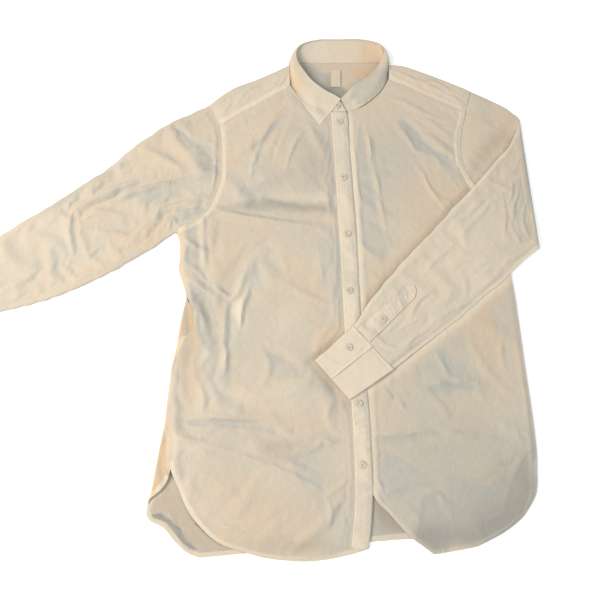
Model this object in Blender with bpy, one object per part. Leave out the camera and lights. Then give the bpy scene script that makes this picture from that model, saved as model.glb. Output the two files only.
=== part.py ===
# A long-sleeved poplin blouse, buttoned and laid on its back, crumpled.
# The wearer's right sleeve is stretched out and the left one is folded over the front.
# Sizes are millimetres until a mesh is made. X runs towards the wearer's left,
# Y towards the collar and Z up from the surface that the blouse lies on.

import math
from collections import namedtuple

import bmesh
import bpy
import numpy as np

for thing in list(bpy.data.objects):
    bpy.data.objects.remove(thing, do_unlink=True)

METRES = 0.001

# Middle of the whole blouse, which becomes the origin
MIDDLE_X = 9.1
MIDDLE_Y = -2.4

# Cloth and the levels at which its layers lie, each an underside
CLOTH = 1.4
GAP = 0.4
LAYER = CLOTH + GAP
FRONT_LEVEL = LAYER
LAP_LEVEL = 2 * LAYER
PLACKET_LEVEL = 3 * LAYER
HALF = CLOTH / 2

# Driving sizes
SIDE_ROLL = 4.3
SIDE_GAP = 1.4
HEM_SAG = 10.5
SHOULDER_ROLL = 2.3
PLACKET_WIDTH = 27.0
BUTTON_WIDTH = 11.0
BUTTON_DEPTH = 1.8
BUTTON_RISE = 0.3
BUTTON_FACETS = 12
LABEL_WIDTH = 16.0
LABEL_LENGTH = 30.0
LABEL_DEPTH = 1.0
RIGHT_ROWS = 31
RIGHT_COLUMNS = np.append(np.linspace(0, 0.79, 13), (0.83, 0.87, 0.907, 1))
LEFT_ROWS = 29
LEFT_COLUMNS = np.linspace(0, 1, 17)

Row = namedtuple("Row", "left_x left_y right_x right_y left_lift body_lift")
BackRow = namedtuple("BackRow", "left_x left_y right_x right_y curl")
YokeRow = namedtuple("YokeRow", "top_x top_y seam_x seam_y has_front")
TubeRow = namedtuple("TubeRow", "edge_x edge_y far_x far_y middle half turn")
CollarRow = namedtuple("CollarRow", "seam_x seam_y seam_z fold_x fold_y fold_z")
LeafRow = namedtuple("LeafRow", "fold_x fold_y fold_z roll_x roll_y roll_z tip_x tip_y tip_z")
Fold = namedtuple("Fold", "x1 y1 x2 y2 width height")

# Armhole seams, from the shoulder to the armpit
RIGHT_ARMHOLE = (
    (-14, 302), (-7.5, 291), (-1.5, 280), (5, 268), (9, 243), (10, 212),
    (9, 176), (-3, 137), (-17, 116), (-40, 102), (-58, 92),
)
LEFT_ARMHOLE = (
    (426, 327), (420.5, 312), (414.5, 294), (410, 274), (406, 258), (404, 236),
    (404.5, 212), (409, 196), (415, 183), (426, 164), (443, 141), (455, 128),
)

# Right front, from the yoke seam to the hem
RIGHT_FRONT = (
    Row(5, 268, 122, 338, 3.2, 3.6),
    Row(9, 243, 141, 314, 2.4, 3.0),
    Row(10, 212, 176, 294, 2.2, 3.0),
    Row(9, 176, 215, 290, 2.4, 3.0),
    Row(-3, 137, 219, 243, 3.0, 3.5),
    Row(-17, 116, 222, 200, 4.0, 4.0),
    Row(-40, 102, 224, 178, 5.0, 4.5),
    Row(-57, 92, 225, 158, 4.0, 4.5),
    Row(-49, 74, 227, 132, 6.5, 4.5),
    Row(-47, 51, 229, 99, 7.5, 4.5),
    Row(-48, 24, 231, 63, 7.5, 4.0),
    Row(-38, -6, 233, -8, 8.0, 4.0),
    Row(-34, -32, 235, -40, 8.6, 4.0),
    Row(-35, -61, 237, -72, 8.6, 4.0),
    Row(-48, -95, 240, -103, 8.6, 3.5),
    Row(-59, -135, 243, -143, 8.6, 3.0),
    Row(-64, -181, 245, -184, 8.4, 3.0),
    Row(-66, -214, 247, -220, 8.4, 3.0),
    Row(-61, -243, 249, -250, 8.6, 3.0),
    Row(-60, -282, 250, -280, 8.0, 2.8),
    Row(-49, -312, 250, -310, 3.5, 2.6),
    Row(-33, -347, 249, -337, 2.4, 2.4),
    Row(-11, -374, 248, -359, 2.0, 2.2),
    Row(15, -395, 246, -377, 1.8, 2.0),
    Row(48, -407, 244, -391, 1.8, 2.0),
    Row(84, -417, 242, -404, 1.8, 1.8),
)

# Left front, from the yoke seam to the hem. It starts under the placket
LEFT_FRONT = (
    Row(288, 350, 414, 291, 3.4, 3.6),
    Row(273, 325, 410, 272, 2.0, 3.0),
    Row(249, 304, 406, 258, 1.8, 3.0),
    Row(222, 290, 404, 236, 1.8, 3.0),
    Row(196, 284, 404, 214, 1.8, 3.0),
    Row(196, 258, 409, 196, 1.8, 3.0),
    Row(198, 226, 415, 183, 1.8, 3.0),
    Row(200, 183, 426, 164, 1.8, 2.8),
    Row(202, 141, 443, 141, 1.8, 2.6),
    Row(204, 99, 460, 107, 1.8, 2.4),
    Row(205, 63, 469, 66, 1.8, 2.4),
    Row(207, -8, 481, 1, 1.8, 2.4),
    Row(210, -72, 488, -64, 1.8, 2.6),
    Row(215, -127, 494, -127, 1.8, 3.0),
    Row(219, -184, 500, -184, 1.8, 3.0),
    Row(222, -227, 504, -227, 1.8, 3.0),
    Row(229, -265, 506, -264, 1.8, 3.0),
    Row(241, -300, 505, -291, 1.8, 3.0),
    Row(256, -333, 504, -312, 1.8, 2.6),
    Row(274, -351, 500, -327, 1.8, 2.4),
    Row(290, -369, 490, -344, 1.8, 2.2),
    Row(308, -387, 477, -360, 1.8, 2.0),
    Row(326, -400, 450, -380, 1.8, 1.8),
    Row(342, -412, 410, -400, 1.8, 1.8),
)

# Back, from the yoke seam to the tail. Its left side curls up and over to the side seam
BACK = (
    BackRow(7.5, 262, 403, 262, 0),
    BackRow(10.5, 228, 402, 226, 0),
    BackRow(10.5, 180, 406, 182, 0),
    BackRow(-1.5, 137, 426, 152, 0),
    BackRow(-15.5, 114, 440, 134, 0),
    BackRow(-39, 99.5, 447, 120, 0),
    BackRow(-57, 90, 452, 111, 0),
    BackRow(-53, 72, 462, 80, 1),
    BackRow(-52, 51, 466, 60, 1),
    BackRow(-53, 27, 473, 17, 1),
    BackRow(-40, -6, 478, -16, 1),
    BackRow(-46, -38, 482, -48, 1),
    BackRow(-51, -65, 485, -70, 1),
    BackRow(-55, -95, 488, -95, 1),
    BackRow(-63, -135, 491, -135, 1),
    BackRow(-68, -181, 495, -181, 1),
    BackRow(-71, -214, 498, -214, 1),
    BackRow(-76, -243, 501, -243, 1),
    BackRow(-82, -278, 502, -270, 1),
    BackRow(-85, -296, 502, -285, 0.8),
    BackRow(-88, -314, 500, -300, 0.5),
    BackRow(-93.5, -334, 498, -315, 0.1),
    BackRow(-96.5, -352, 492, -333, 0),
    BackRow(-89, -364, 481, -349, 0),
    BackRow(-69, -374, 460, -363, 0),
    BackRow(-51, -394, 429, -376, 0),
    BackRow(-32, -410, 383, -385, 0),
    BackRow(-13, -417, 307, -388, 0),
)

# Yoke across both shoulders. It wraps to the front where it has a front seam
YOKE_BACK_Y = 263.0
YOKE = (
    YokeRow(-11.5, 303, 6.5, 270, 1),
    YokeRow(27, 331, 39, 290, 1),
    YokeRow(64, 346, 69, 307, 1),
    YokeRow(93, 359, 97, 324, 1),
    YokeRow(120, 372, 121, 339, 1),
    YokeRow(134, 376, 134, 376, 0),
    YokeRow(168, 377, 168, 377, 0),
    YokeRow(206, 377, 206, 377, 0),
    YokeRow(244, 377, 244, 377, 0),
    YokeRow(275, 376, 275, 376, 0),
    YokeRow(289, 373, 289, 351, 1),
    YokeRow(312, 371, 315, 339, 1),
    YokeRow(349, 358, 350, 322, 1),
    YokeRow(386, 343, 383, 307, 1),
    YokeRow(423, 327, 413, 293, 1),
)

# Sleeves, each row a cut across the flattened tube from its shoulder edge to its underarm edge
RIGHT_SLEEVE = (
    TubeRow(-44, 287, -73, 80, 2.4, 2.4, 0),
    TubeRow(-72, 275, -92, 66, 3.0, 3.0, 0),
    TubeRow(-131, 234, -136, 38, 3.0, 3.0, 0),
    TubeRow(-179, 192, -170, 19, 3.0, 3.0, 0),
    TubeRow(-219, 165, -206, 1, 3.0, 3.0, 0),
    TubeRow(-251, 143, -243, -15, 3.0, 3.0, 0),
    TubeRow(-340, 86, -308, -36, 2.8, 2.8, 0),
    TubeRow(-438, 24, -388, -51, 2.4, 2.4, 0),
)
LEFT_SLEEVE = (
    TubeRow(468, 306, 490, 91, 2.2, 2.2, 0),
    TubeRow(497, 286, 519, 61, 2.4, 2.4, 0),
    TubeRow(500, 282, 522, 60, 3.3, 2.4, 45),
    TubeRow(501, 275, 523, 59, 5.5, 2.4, 90),
    TubeRow(499, 264, 522, 58, 7.7, 2.4, 135),
    TubeRow(496, 256, 519, 57, 8.6, 2.4, 180),
    TubeRow(479, 225, 510, 48, 8.4, 2.4, 180),
    TubeRow(457, 202, 491, 33, 8.0, 2.4, 180),
    TubeRow(423, 163, 466, 8, 7.2, 2.4, 180),
    TubeRow(380, 118, 425, -24, 7.0, 2.4, 180),
    TubeRow(353, 88, 396, -50, 7.0, 2.4, 180),
    TubeRow(298, 31, 355, -81, 7.4, 2.4, 180),
    TubeRow(252, -24, 315, -111, 10.6, 2.4, 180),
    TubeRow(223.5, -66.5, 285, -133.5, 12.8, 2.2, 180),
)

# Cuffs, from the sleeve seam to the open end
RIGHT_CUFF = (
    TubeRow(-438.3, 23.8, -388.3, -51.2, 2.9, 2.9, 0),
    TubeRow(-507, -20, -459, -91, 2.9, 2.9, 0),
)
LEFT_CUFF = (
    TubeRow(223.2, -66.8, 284.7, -133.8, 10.6, 0, 0),
    TubeRow(163, -120, 216, -180, 9.0, 0, 0),
)
CUFF_LAP = 0.47      # how far across the cuff its top end reaches
CUFF_TUCK = 0.27     # where the end below it stops
CUFF_LOWER_TOP = 2.2
CUFF_UPPER_TOP = 4.2

# Collar stand from the end that lies under, round the neck, to the end that laps over
STAND = (
    CollarRow(196, 293, 3.0, 195, 309, 4.8),
    CollarRow(217, 293.5, 3.2, 212, 312, 6.2),
    CollarRow(236, 299, 3.4, 228, 329, 9.5),
    CollarRow(257, 313, 4.2, 253, 346, 11.5),
    CollarRow(276, 332, 5.0, 268, 363, 13.5),
    CollarRow(284, 352, 5.6, 279, 380, 14.5),
    CollarRow(282, 370, 4.0, 276, 396, 15.0),
    CollarRow(272, 378.2, 2.4, 266, 407, 14.5),
    CollarRow(243, 379, 1.4, 240, 412, 14.0),
    CollarRow(206, 379, 1.4, 205, 412.5, 14.0),
    CollarRow(168, 379, 1.4, 170, 411.5, 14.0),
    CollarRow(138, 378.2, 2.4, 144, 404, 14.5),
    CollarRow(127, 370, 4.0, 134, 391, 15.0),
    CollarRow(125, 352, 5.6, 134, 375, 14.5),
    CollarRow(130, 335, 5.8, 143, 359, 13.5),
    CollarRow(144, 317, 5.8, 158, 340, 12.0),
    CollarRow(163, 303, 5.8, 178, 325, 10.5),
    CollarRow(189, 293.5, 6.2, 196, 315, 9.6),
    CollarRow(215, 291, 6.6, 209, 306, 8.6),
)

# Collar leaf, from the wearer's left point round the neck to the right point
LEAF = (
    LeafRow(210, 309, 11.0, 216, 296, 10.6, 223, 283, 9.4),
    LeafRow(228, 330, 12.2, 233, 314, 11.6, 239, 299, 9.4),
    LeafRow(254, 347, 14.0, 261, 334, 13.0, 267, 320, 9.2),
    LeafRow(270, 365, 16.0, 278, 354, 15.0, 282, 342, 9.0),
    LeafRow(280, 382, 16.8, 286, 377, 16.0, 289, 367, 9.0),
    LeafRow(278, 396, 17.0, 285, 396, 14.0, 286, 384, 4.6),
    LeafRow(267, 407.5, 16.4, 275, 415, 8.0, 271, 388, 1.6),
    LeafRow(241, 413.5, 15.6, 242, 424, 4.0, 241, 384, 1.2),
    LeafRow(205, 414, 15.6, 205, 424, 4.0, 205, 384, 1.2),
    LeafRow(169, 413, 15.6, 168, 424, 4.0, 169, 384, 1.2),
    LeafRow(143, 405, 16.4, 136, 412, 8.0, 139, 388, 1.6),
    LeafRow(132, 392, 17.0, 125, 392, 14.0, 124, 382, 4.6),
    LeafRow(132, 376, 16.8, 124, 371, 16.0, 119, 363, 9.0),
    LeafRow(141, 360, 16.0, 131, 352, 15.0, 122, 343, 9.0),
    LeafRow(157, 340, 14.4, 145, 332, 13.2, 132, 323, 9.2),
    LeafRow(177, 325, 12.6, 165, 310, 12.0, 151, 295, 9.4),
    LeafRow(194, 316, 11.6, 181, 298, 11.2, 165, 277, 9.4),
    LeafRow(203, 309, 11.2, 188, 288, 10.8, 172, 267, 9.4),
)

# Placket down the right front, its left edge from top to bottom
PLACKET_EDGE = (
    (189.5, 288), (192, 262), (204, 63), (207, -8), (210, -72),
    (219, -184), (222, -243), (224, -306), (222, -355), (216.5, -401),
)

# Largest folds, each a crest from one point to another
RIGHT_FRONT_FOLDS = (
    Fold(24, 118, 150, 140, 16, 4.5),
    Fold(30, 150, 150, 205, 18, 4.0),
    Fold(26, 200, 96, 276, 14, 3.0),
    Fold(-4, 112, -8, 40, 14, 6.0),
    Fold(-44, 14, 12, -26, 13, 5.5),
    Fold(-24, -18, -12, -110, 14, 6.0),
    Fold(40, 0, 40, -86, 13, 5.0),
    Fold(24, -66, 14, -166, 15, 5.0),
    Fold(-30, -188, 124, -206, 14, 4.5),
    Fold(-40, -232, 70, -262, 14, 3.0),
    Fold(70, 36, 190, -60, 18, 3.5),
    Fold(80, -92, 196, -132, 16, 3.5),
    Fold(30, -186, 150, -166, 16, 3.0),
    Fold(10, -322, 180, -352, 22, 2.5),
    Fold(60, 110, 96, -10, 16, 3.0),
    Fold(-34, 84, -30, 20, 12, 5.0),
)
LEFT_FRONT_FOLDS = (
    Fold(300, 282, 322, 226, 14, 3.0),
    Fold(330, 262, 400, 204, 16, 4.0),
    Fold(262, 240, 290, 90, 18, 3.0),
    Fold(262, 40, 286, -10, 14, 2.5),
    Fold(320, -200, 430, -190, 18, 3.5),
    Fold(286, -260, 372, -350, 20, 3.0),
    Fold(350, -160, 480, -138, 18, 3.5),
    Fold(410, -50, 478, -90, 16, 3.0),
    Fold(400, -250, 486, -300, 18, 3.0),
    Fold(450, -150, 470, -260, 16, 3.0),
)
RIGHT_SLEEVE_FOLDS = (
    Fold(-60, 250, -12, 160, 16, 4.0),
    Fold(-250, 112, -110, 186, 14, 5.0),
    Fold(-240, 60, -60, 132, 14, 4.5),
    Fold(-200, 30, -100, 96, 13, 4.5),
    Fold(-170, 150, -60, 190, 14, 4.0),
    Fold(-60, 120, -20, 128, 10, 3.0),
    Fold(-400, 10, -270, 90, 14, 3.5),
    Fold(-380, -30, -260, 34, 13, 3.0),
)
LEFT_SLEEVE_FOLDS = (
    Fold(440, 270, 486, 200, 16, 2.5),
    Fold(490, 240, 508, 110, 13, 4.0),
    Fold(462, 170, 500, 70, 14, 4.0),
    Fold(330, 44, 440, 120, 16, 4.0),
    Fold(342, 4, 430, 66, 14, 3.5),
    Fold(300, -70, 420, 10, 14, 3.5),
    Fold(400, 20, 478, 60, 14, 3.5),
)

BUTTON_PLACES = (
    (204.0, 273.3), (210.0, 177.5), (215.1, 83.4), (217.9, -8.9),
    (224.1, -98.7), (230.8, -186.1), (235.2, -278.9),
)
STAND_BUTTON = (203.5, 300.0, 9.4)
CUFF_BUTTON_ACROSS = 0.22
CUFF_BUTTON_ALONG = 0.34
SLEEVE_BUTTON = (12.35, 0.27)
LABEL_CENTRE = (199.0, 351.0)

# Colours
CREAM = (0.80, 0.71, 0.57)
PALE_CREAM = (0.84, 0.76, 0.63)
PEARL = (0.86, 0.82, 0.74)
LABEL_WHITE = (0.88, 0.85, 0.78)


def finish(name, colour, roughness):
    material = bpy.data.materials.new(name)
    material.use_nodes = True
    shader = material.node_tree.nodes["Principled BSDF"]
    shader.inputs["Base Color"].default_value = (*colour, 1)
    shader.inputs["Roughness"].default_value = roughness
    shader.inputs["Metallic"].default_value = 0.0
    return material


poplin = finish("poplin", CREAM, 0.85)
doubled_poplin = finish("doubled_poplin", PALE_CREAM, 0.82)
pearl = finish("pearl", PEARL, 0.3)
label_tape = finish("label_tape", LABEL_WHITE, 0.7)


# Values of a table at any place between its rows, on a smooth curve through them
def smooth(rows, places):
    table = np.array(rows, float)
    last = len(table) - 1
    places = np.clip(np.asarray(places, float), 0, last)
    start = np.minimum(places.astype(int), last - 1)
    part = (places - start).reshape((-1,) + (1,) * (table.ndim - 1))
    before = table[np.maximum(start - 1, 0)]
    here = table[start]
    there = table[start + 1]
    after = table[np.minimum(start + 2, last)]
    slope_here = (there - before) / 2
    slope_there = (after - here) / 2
    return (
        here * (1 + 2 * part) * (1 - part) ** 2
        + slope_here * part * (1 - part) ** 2
        + there * part**2 * (3 - 2 * part)
        - slope_there * part**2 * (1 - part)
    )


def evenly(rows, count):
    return smooth(rows, np.linspace(0, len(rows) - 1, count + 1))


# Crests of the folds above the plain cloth
def relief(x, y, folds):
    height = np.zeros_like(x)
    for fold in folds:
        run_x = fold.x2 - fold.x1
        run_y = fold.y2 - fold.y1
        length = math.hypot(run_x, run_y)
        along = ((x - fold.x1) * run_x + (y - fold.y1) * run_y) / length**2
        away = ((x - fold.x1) * run_y - (y - fold.y1) * run_x) / length
        taper = np.clip(1 - (2 * along - 1) ** 2, 0, 1)
        crest = np.clip(1 - (away / fold.width) ** 2, 0, 1) ** 2
        height += fold.height * taper * crest
    return height


# From 0 at the first distance to 1 at the second, without a kink
def ramp(distance, first, second):
    part = np.clip((distance - first) / (second - first), 0, 1)
    return part * part * (3 - 2 * part)


# One closed wall between two grids of points with the same rows and columns
def wall(name, under, over, material, ring=False, skip=None):
    rows, columns = under.shape[:2]
    mesh = bmesh.new()
    low = [[mesh.verts.new(point * METRES) for point in row] for row in under]
    high = [[mesh.verts.new(point * METRES) for point in row] for row in over]
    cells = set()
    for r in range(rows - 1):
        for c in range(columns if ring else columns - 1):
            if skip is None or not skip(r, c):
                cells.add((r, c))

    def corner(grid, r, c):
        return grid[r][c % columns]

    for r, c in cells:
        around = ((r, c), (r, c + 1), (r + 1, c + 1), (r + 1, c))
        mesh.faces.new([corner(high, *spot) for spot in around])
        mesh.faces.new([corner(low, *spot) for spot in (around[0], around[3], around[2], around[1])])
    # The rim joins the two grids along each side of a cell that has no neighbour there
    sides = ((-1, 0, 0, 0, 0, 1), (1, 0, 1, 1, 1, 0), (0, -1, 1, 0, 0, 0), (0, 1, 0, 1, 1, 1))
    for r, c in cells:
        for step_r, step_c, from_r, from_c, to_r, to_c in sides:
            beside = (c + step_c) % columns if ring else c + step_c
            if (r + step_r, beside) in cells:
                continue
            start = (r + from_r, c + from_c)
            stop = (r + to_r, c + to_c)
            rim = (corner(high, *stop), corner(high, *start), corner(low, *start), corner(low, *stop))
            mesh.faces.new(rim)
    loose = [vert for vert in mesh.verts if not vert.link_faces]
    bmesh.ops.delete(mesh, geom=loose, context="VERTS")
    bmesh.ops.recalc_face_normals(mesh, faces=mesh.faces)
    return place(name, mesh, material)


def place(name, mesh, material):
    bmesh.ops.translate(mesh, verts=mesh.verts, vec=(-MIDDLE_X * METRES, -MIDDLE_Y * METRES, 0))
    data = bpy.data.meshes.new(name)
    mesh.to_mesh(data)
    mesh.free()
    data.materials.append(material)
    data.shade_smooth()
    data.set_sharp_from_angle(angle=math.radians(50))
    piece = bpy.data.objects.new(name, data)
    bpy.context.scene.collection.objects.link(piece)
    return piece


# A sheet that stands in any direction, given thickness along its own normals
def shell(centre, thickness):
    along = np.gradient(centre, axis=0)
    across = np.gradient(centre, axis=1)
    normal = np.cross(along, across)
    normal /= np.linalg.norm(normal, axis=2, keepdims=True)
    return centre - normal * thickness / 2, centre + normal * thickness / 2


# Plan of a panel: rows of points from its left edge to its right edge, at the given shares
def plan(rows, down, share, sag=0.0):
    table = evenly([row[:4] for row in rows], down)
    low = ramp(np.linspace(0, 1, down + 1), 0.86, 1)[:, None]
    x = table[:, 0:1] + (table[:, 2:3] - table[:, 0:1]) * share
    y = table[:, 1:2] + (table[:, 3:4] - table[:, 1:2]) * share - sag * low * np.sin(math.pi * share)
    return x, y


def lay(name, x, y, underside, material):
    under = np.dstack((x, y, underside))
    over = np.dstack((x, y, underside + CLOTH))
    return wall(name, under, over, material)


# Distance from the folded forearm, so that the cloth below it is pressed flat
def beyond_forearm(x, y):
    rows = [row for row in LEFT_SLEEVE if row.turn == 180] + [LEFT_CUFF[0], LEFT_CUFF[1]]
    end = np.array((rows[-1].edge_x + rows[-1].far_x, rows[-1].edge_y + rows[-1].far_y)) / 2
    start = np.array((rows[0].edge_x + rows[0].far_x, rows[0].edge_y + rows[0].far_y)) / 2
    axis = (start - end) / np.linalg.norm(start - end)
    side = np.array((-axis[1], axis[0]))

    def measure(x, y):
        along = (x - end[0]) * axis[0] + (y - end[1]) * axis[1]
        return along, (x - end[0]) * side[0] + (y - end[1]) * side[1]

    upper = sorted(measure(row.edge_x, row.edge_y) for row in rows)
    lower = sorted(measure(row.far_x, row.far_y) for row in rows)
    along, aside = measure(x, y)
    top = np.interp(along, [p[0] for p in upper], [p[1] for p in upper])
    bottom = np.interp(along, [p[0] for p in lower], [p[1] for p in lower])
    return np.maximum(np.maximum(aside - top, bottom - aside), -along - 4)


# The end of the left side of the back: how far it has curled, and where that leaves it
def side_curl(row):
    seam = evenly(RIGHT_FRONT, 120)[:, :2]
    width = max(np.interp(-row.left_y, -seam[:, 1], seam[:, 0]) - SIDE_GAP - row.left_x, 0)
    if width >= SIDE_ROLL:
        length = math.pi * SIDE_ROLL + width - SIDE_ROLL
    else:
        length = SIDE_ROLL * (math.pi - math.asin(1 - width / SIDE_ROLL))
    return length * row.curl


# Points on a sheet that runs flat, then rolls over by a given length
def rolled(edge, roll, length, distance):
    turned = min(length / roll, math.pi)
    centre = edge + roll * math.sin(min(turned, math.pi / 2))
    angle = min(max(distance / roll, 0), math.pi)
    beyond = max(distance - math.pi * roll, 0)
    before = max(-distance, 0)
    return centre - roll * math.sin(angle) + beyond + before, HALF + roll * (1 - math.cos(angle))


def make_back():
    down, flat, curled = 30, 7, 12
    approach = 14.0
    centre = np.zeros((down + 1, flat + curled + 1, 3))
    table = evenly(BACK, down)
    for r, values in enumerate(table):
        row = BackRow(*values)
        length = max(side_curl(row), 0)
        begin = rolled(row.left_x, SIDE_ROLL, length, -approach)[0]
        places = [(x, HALF) for x in np.linspace(row.right_x, begin, flat + 1)[:-1]]
        for distance in np.linspace(-approach, length, curled + 1):
            places.append(rolled(row.left_x, SIDE_ROLL, length, distance))
        slope = (row.right_y - row.left_y) / (row.right_x - row.left_x)
        for c, (x, z) in enumerate(places):
            centre[r, c] = (x, row.left_y + (x - row.left_x) * slope, z)
    under, over = shell(centre, CLOTH)
    flat_side = over if over[0, 0, 2] < under[0, 0, 2] else under
    flat_side[:, : flat + 1, 2] = 0
    return wall("back", under, over, poplin)


def make_yoke():
    across, back_rows, roll_rows, front_rows = 32, 2, 5, 3
    table = evenly(YOKE, across)
    stations = [YokeRow(*values) for values in table]
    rows = back_rows + roll_rows + front_rows
    centre = np.zeros((rows + 1, across + 1, 3))
    for c, station in enumerate(stations):
        top = np.array((station.top_x, station.top_y))
        low = np.array((station.top_x + (210 - station.top_x) * 0.085, YOKE_BACK_Y + 0.8))
        seam = np.array((station.seam_x, station.seam_y))
        for r in range(back_rows + 1):
            part = r / back_rows
            spot = low + (top - np.array((0, SHOULDER_ROLL)) - low) * part
            centre[r, c] = (*spot, HALF)
        for r in range(1, roll_rows + 1):
            angle = math.pi * r / roll_rows
            spot = top + np.array((0, SHOULDER_ROLL * (math.sin(angle) - 1)))
            centre[back_rows + r, c] = (*spot, HALF + SHOULDER_ROLL * (1 - math.cos(angle)))
        start = top - np.array((0, SHOULDER_ROLL))
        for r in range(1, front_rows + 1):
            part = r / front_rows
            drop = 1.0 * ramp(part, 0.3, 1)
            spot = start + (seam + np.array((0, 0.8)) - start) * part
            centre[back_rows + roll_rows + r, c] = (*spot, HALF + 2 * SHOULDER_ROLL - drop)
    neck = [c for c, station in enumerate(stations) if station.has_front < 0.95]
    under, over = shell(centre, CLOTH)
    for c in neck:
        for grid in (under, over):
            grid[back_rows, c, 1] = stations[c].top_y + 0.3
    flat_side = over if over[0, 0, 2] < under[0, 0, 2] else under
    flat_side[: back_rows + 1, :, 2] = 0
    other_side = under if flat_side is over else over
    other_side[: back_rows + 1, :, 2] = CLOTH

    def open_neck(r, c):
        return r >= back_rows and (c in neck or c + 1 in neck)

    return wall("yoke", under, over, poplin, skip=open_neck)


def placket_edge(y):
    edge = evenly(PLACKET_EDGE, 60)
    return np.interp(-y, -edge[:, 1], edge[:, 0])


def make_front_right():
    x, y = plan(RIGHT_FRONT, RIGHT_ROWS, RIGHT_COLUMNS, HEM_SAG)
    table = evenly(RIGHT_FRONT, RIGHT_ROWS)
    left_lift = table[:, 4:5]
    body_lift = table[:, 5:6]
    from_left = x - x[:, :1]
    from_placket = placket_edge(y) - x
    from_end = x[:, -1:] - x
    top = np.linspace(0, 1, RIGHT_ROWS + 1)[:, None]
    free = ramp(from_left, 2, 24) * ramp(from_placket, 6, 34) * ramp(beyond_forearm(x, y), 3, 26)
    free = free * ramp(top, 0.03, 0.14) * ramp(1 - top, 0.0, 0.09)
    base = body_lift + (left_lift - body_lift) * (1 - ramp(from_left, 4, 46))
    pressed = ramp(beyond_forearm(x, y), 1, 24)
    base = FRONT_LEVEL + (base - FRONT_LEVEL) * pressed
    underside = np.maximum(base + relief(x, y, RIGHT_FRONT_FOLDS) * free, FRONT_LEVEL)
    lap = 1 - ramp(np.minimum(from_placket, from_end), 3, 16)
    underside = underside * (1 - lap) + LAP_LEVEL * lap
    return lay("front_right", x, y, underside, poplin)


def make_front_left():
    x, y = plan(LEFT_FRONT, LEFT_ROWS, LEFT_COLUMNS)
    table = evenly(LEFT_FRONT, LEFT_ROWS)
    left_lift = table[:, 4:5]
    body_lift = table[:, 5:6]
    from_placket = x - placket_edge(y) - PLACKET_WIDTH
    from_left = x - x[:, :1]
    from_right = x[:, -1:] - x
    top = np.linspace(0, 1, LEFT_ROWS + 1)[:, None]
    apart = ramp(beyond_forearm(x, y), 3, 26)
    free = ramp(from_placket, 6, 30) * ramp(from_left, 4, 30) * ramp(from_right, 2, 26) * apart
    free = free * ramp(top, 0.03, 0.12) * ramp(1 - top, 0.0, 0.08)
    away = np.minimum(ramp(from_placket, 2, 30), ramp(from_left, 2, 30))
    base = left_lift + (body_lift - left_lift) * away * ramp(from_right, 0, 30)
    base = FRONT_LEVEL + (base - FRONT_LEVEL) * ramp(beyond_forearm(x, y), 1, 24)
    underside = np.maximum(base + relief(x, y, LEFT_FRONT_FOLDS) * free, FRONT_LEVEL)
    return lay("front_left", x, y, underside, poplin)


def make_placket():
    edge = evenly(PLACKET_EDGE, 20)
    across = np.linspace(0, PLACKET_WIDTH, 3)
    x = edge[:, 0:1] + across
    y = np.repeat(edge[:, 1:2], 3, axis=1) - 0.09 * across * (edge[:, 1:2] < edge[-2, 1])
    return lay("placket", x, y, np.full_like(x, PLACKET_LEVEL), doubled_poplin)


# Ring of points round a flattened tube, as shares across it and heights from its middle
def flat_ring(flat_steps, round_steps):
    ring = []
    for step in range(flat_steps + 1):
        ring.append((step / flat_steps, 0.0, 1.0))
    for step in range(1, round_steps):
        angle = math.pi * step / round_steps
        ring.append((1.0, math.sin(angle), math.cos(angle)))
    for step in range(flat_steps + 1):
        ring.append((1 - step / flat_steps, 0.0, -1.0))
    for step in range(1, round_steps):
        angle = math.pi * step / round_steps
        ring.append((0.0, -math.sin(angle), -math.cos(angle)))
    return ring


# Lines across a sleeve: the armhole curve first, then straight cuts
def sleeve_lines(rows, armhole, outward, steps):
    lines = []
    if armhole:
        curve = evenly(armhole, steps)
        step = np.gradient(curve, axis=0)
        step /= np.linalg.norm(step, axis=1, keepdims=True)
        lines.append(curve + np.column_stack((-step[:, 1], step[:, 0])) * outward)
    for row in rows:
        start = np.array((row.edge_x, row.edge_y))
        stop = np.array((row.far_x, row.far_y))
        lines.append(start + (stop - start) * np.linspace(0, 1, steps + 1)[:, None])
    return lines


# Outer and inner rings of a sleeve or cuff at any place along it
def tube_rings(rows, armhole, outward, places, folds, thickness):
    steps, round_steps = 9, 3
    lines = smooth(sleeve_lines(rows, armhole, outward, 48), places)
    shape = [(row.middle, row.half, row.turn) for row in rows]
    if armhole:
        shape.insert(0, (FRONT_LEVEL + 0.2, FRONT_LEVEL + 0.2, 0))
    shape = np.array([np.interp(places, range(len(shape)), column) for column in zip(*shape)]).T
    grids = []
    for inset in (thickness, 0.0):
        grid = []
        for line, (middle, half, turn) in zip(lines, shape):
            length = np.concatenate(([0], np.cumsum(np.linalg.norm(np.diff(line, axis=0), axis=1))))
            side = (line[-1] - line[0]) / np.linalg.norm(line[-1] - line[0])
            facing = np.array((-side[1], side[0]))
            tilt = math.radians(turn)
            up = np.array((-facing[0] * math.sin(tilt), -facing[1] * math.sin(tilt), math.cos(tilt)))
            ring = []
            for share, reach, height in flat_ring(steps, round_steps):
                spot = half + share * (length[-1] - 2 * half) + reach * (half - inset)
                x = np.interp(spot, length, line[:, 0])
                y = np.interp(spot, length, line[:, 1])
                point = np.array((x, y, middle)) + up * height * (half - inset)
                edge = min(share, 1 - share) * length[-1]
                if height * math.cos(tilt) > 0.9 and not reach:
                    point[2] += relief(point[0:1], point[1:2], folds)[0] * ramp(edge, 2, 22)
                ring.append(point)
            grid.append(ring)
        grids.append(np.array(grid))
    return grids


def make_sleeve(name, rows, armhole, outward, folds, places):
    inner, outer = tube_rings(rows, armhole, outward, places, folds, CLOTH)
    return wall(name, inner, outer, poplin, ring=True)


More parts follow.
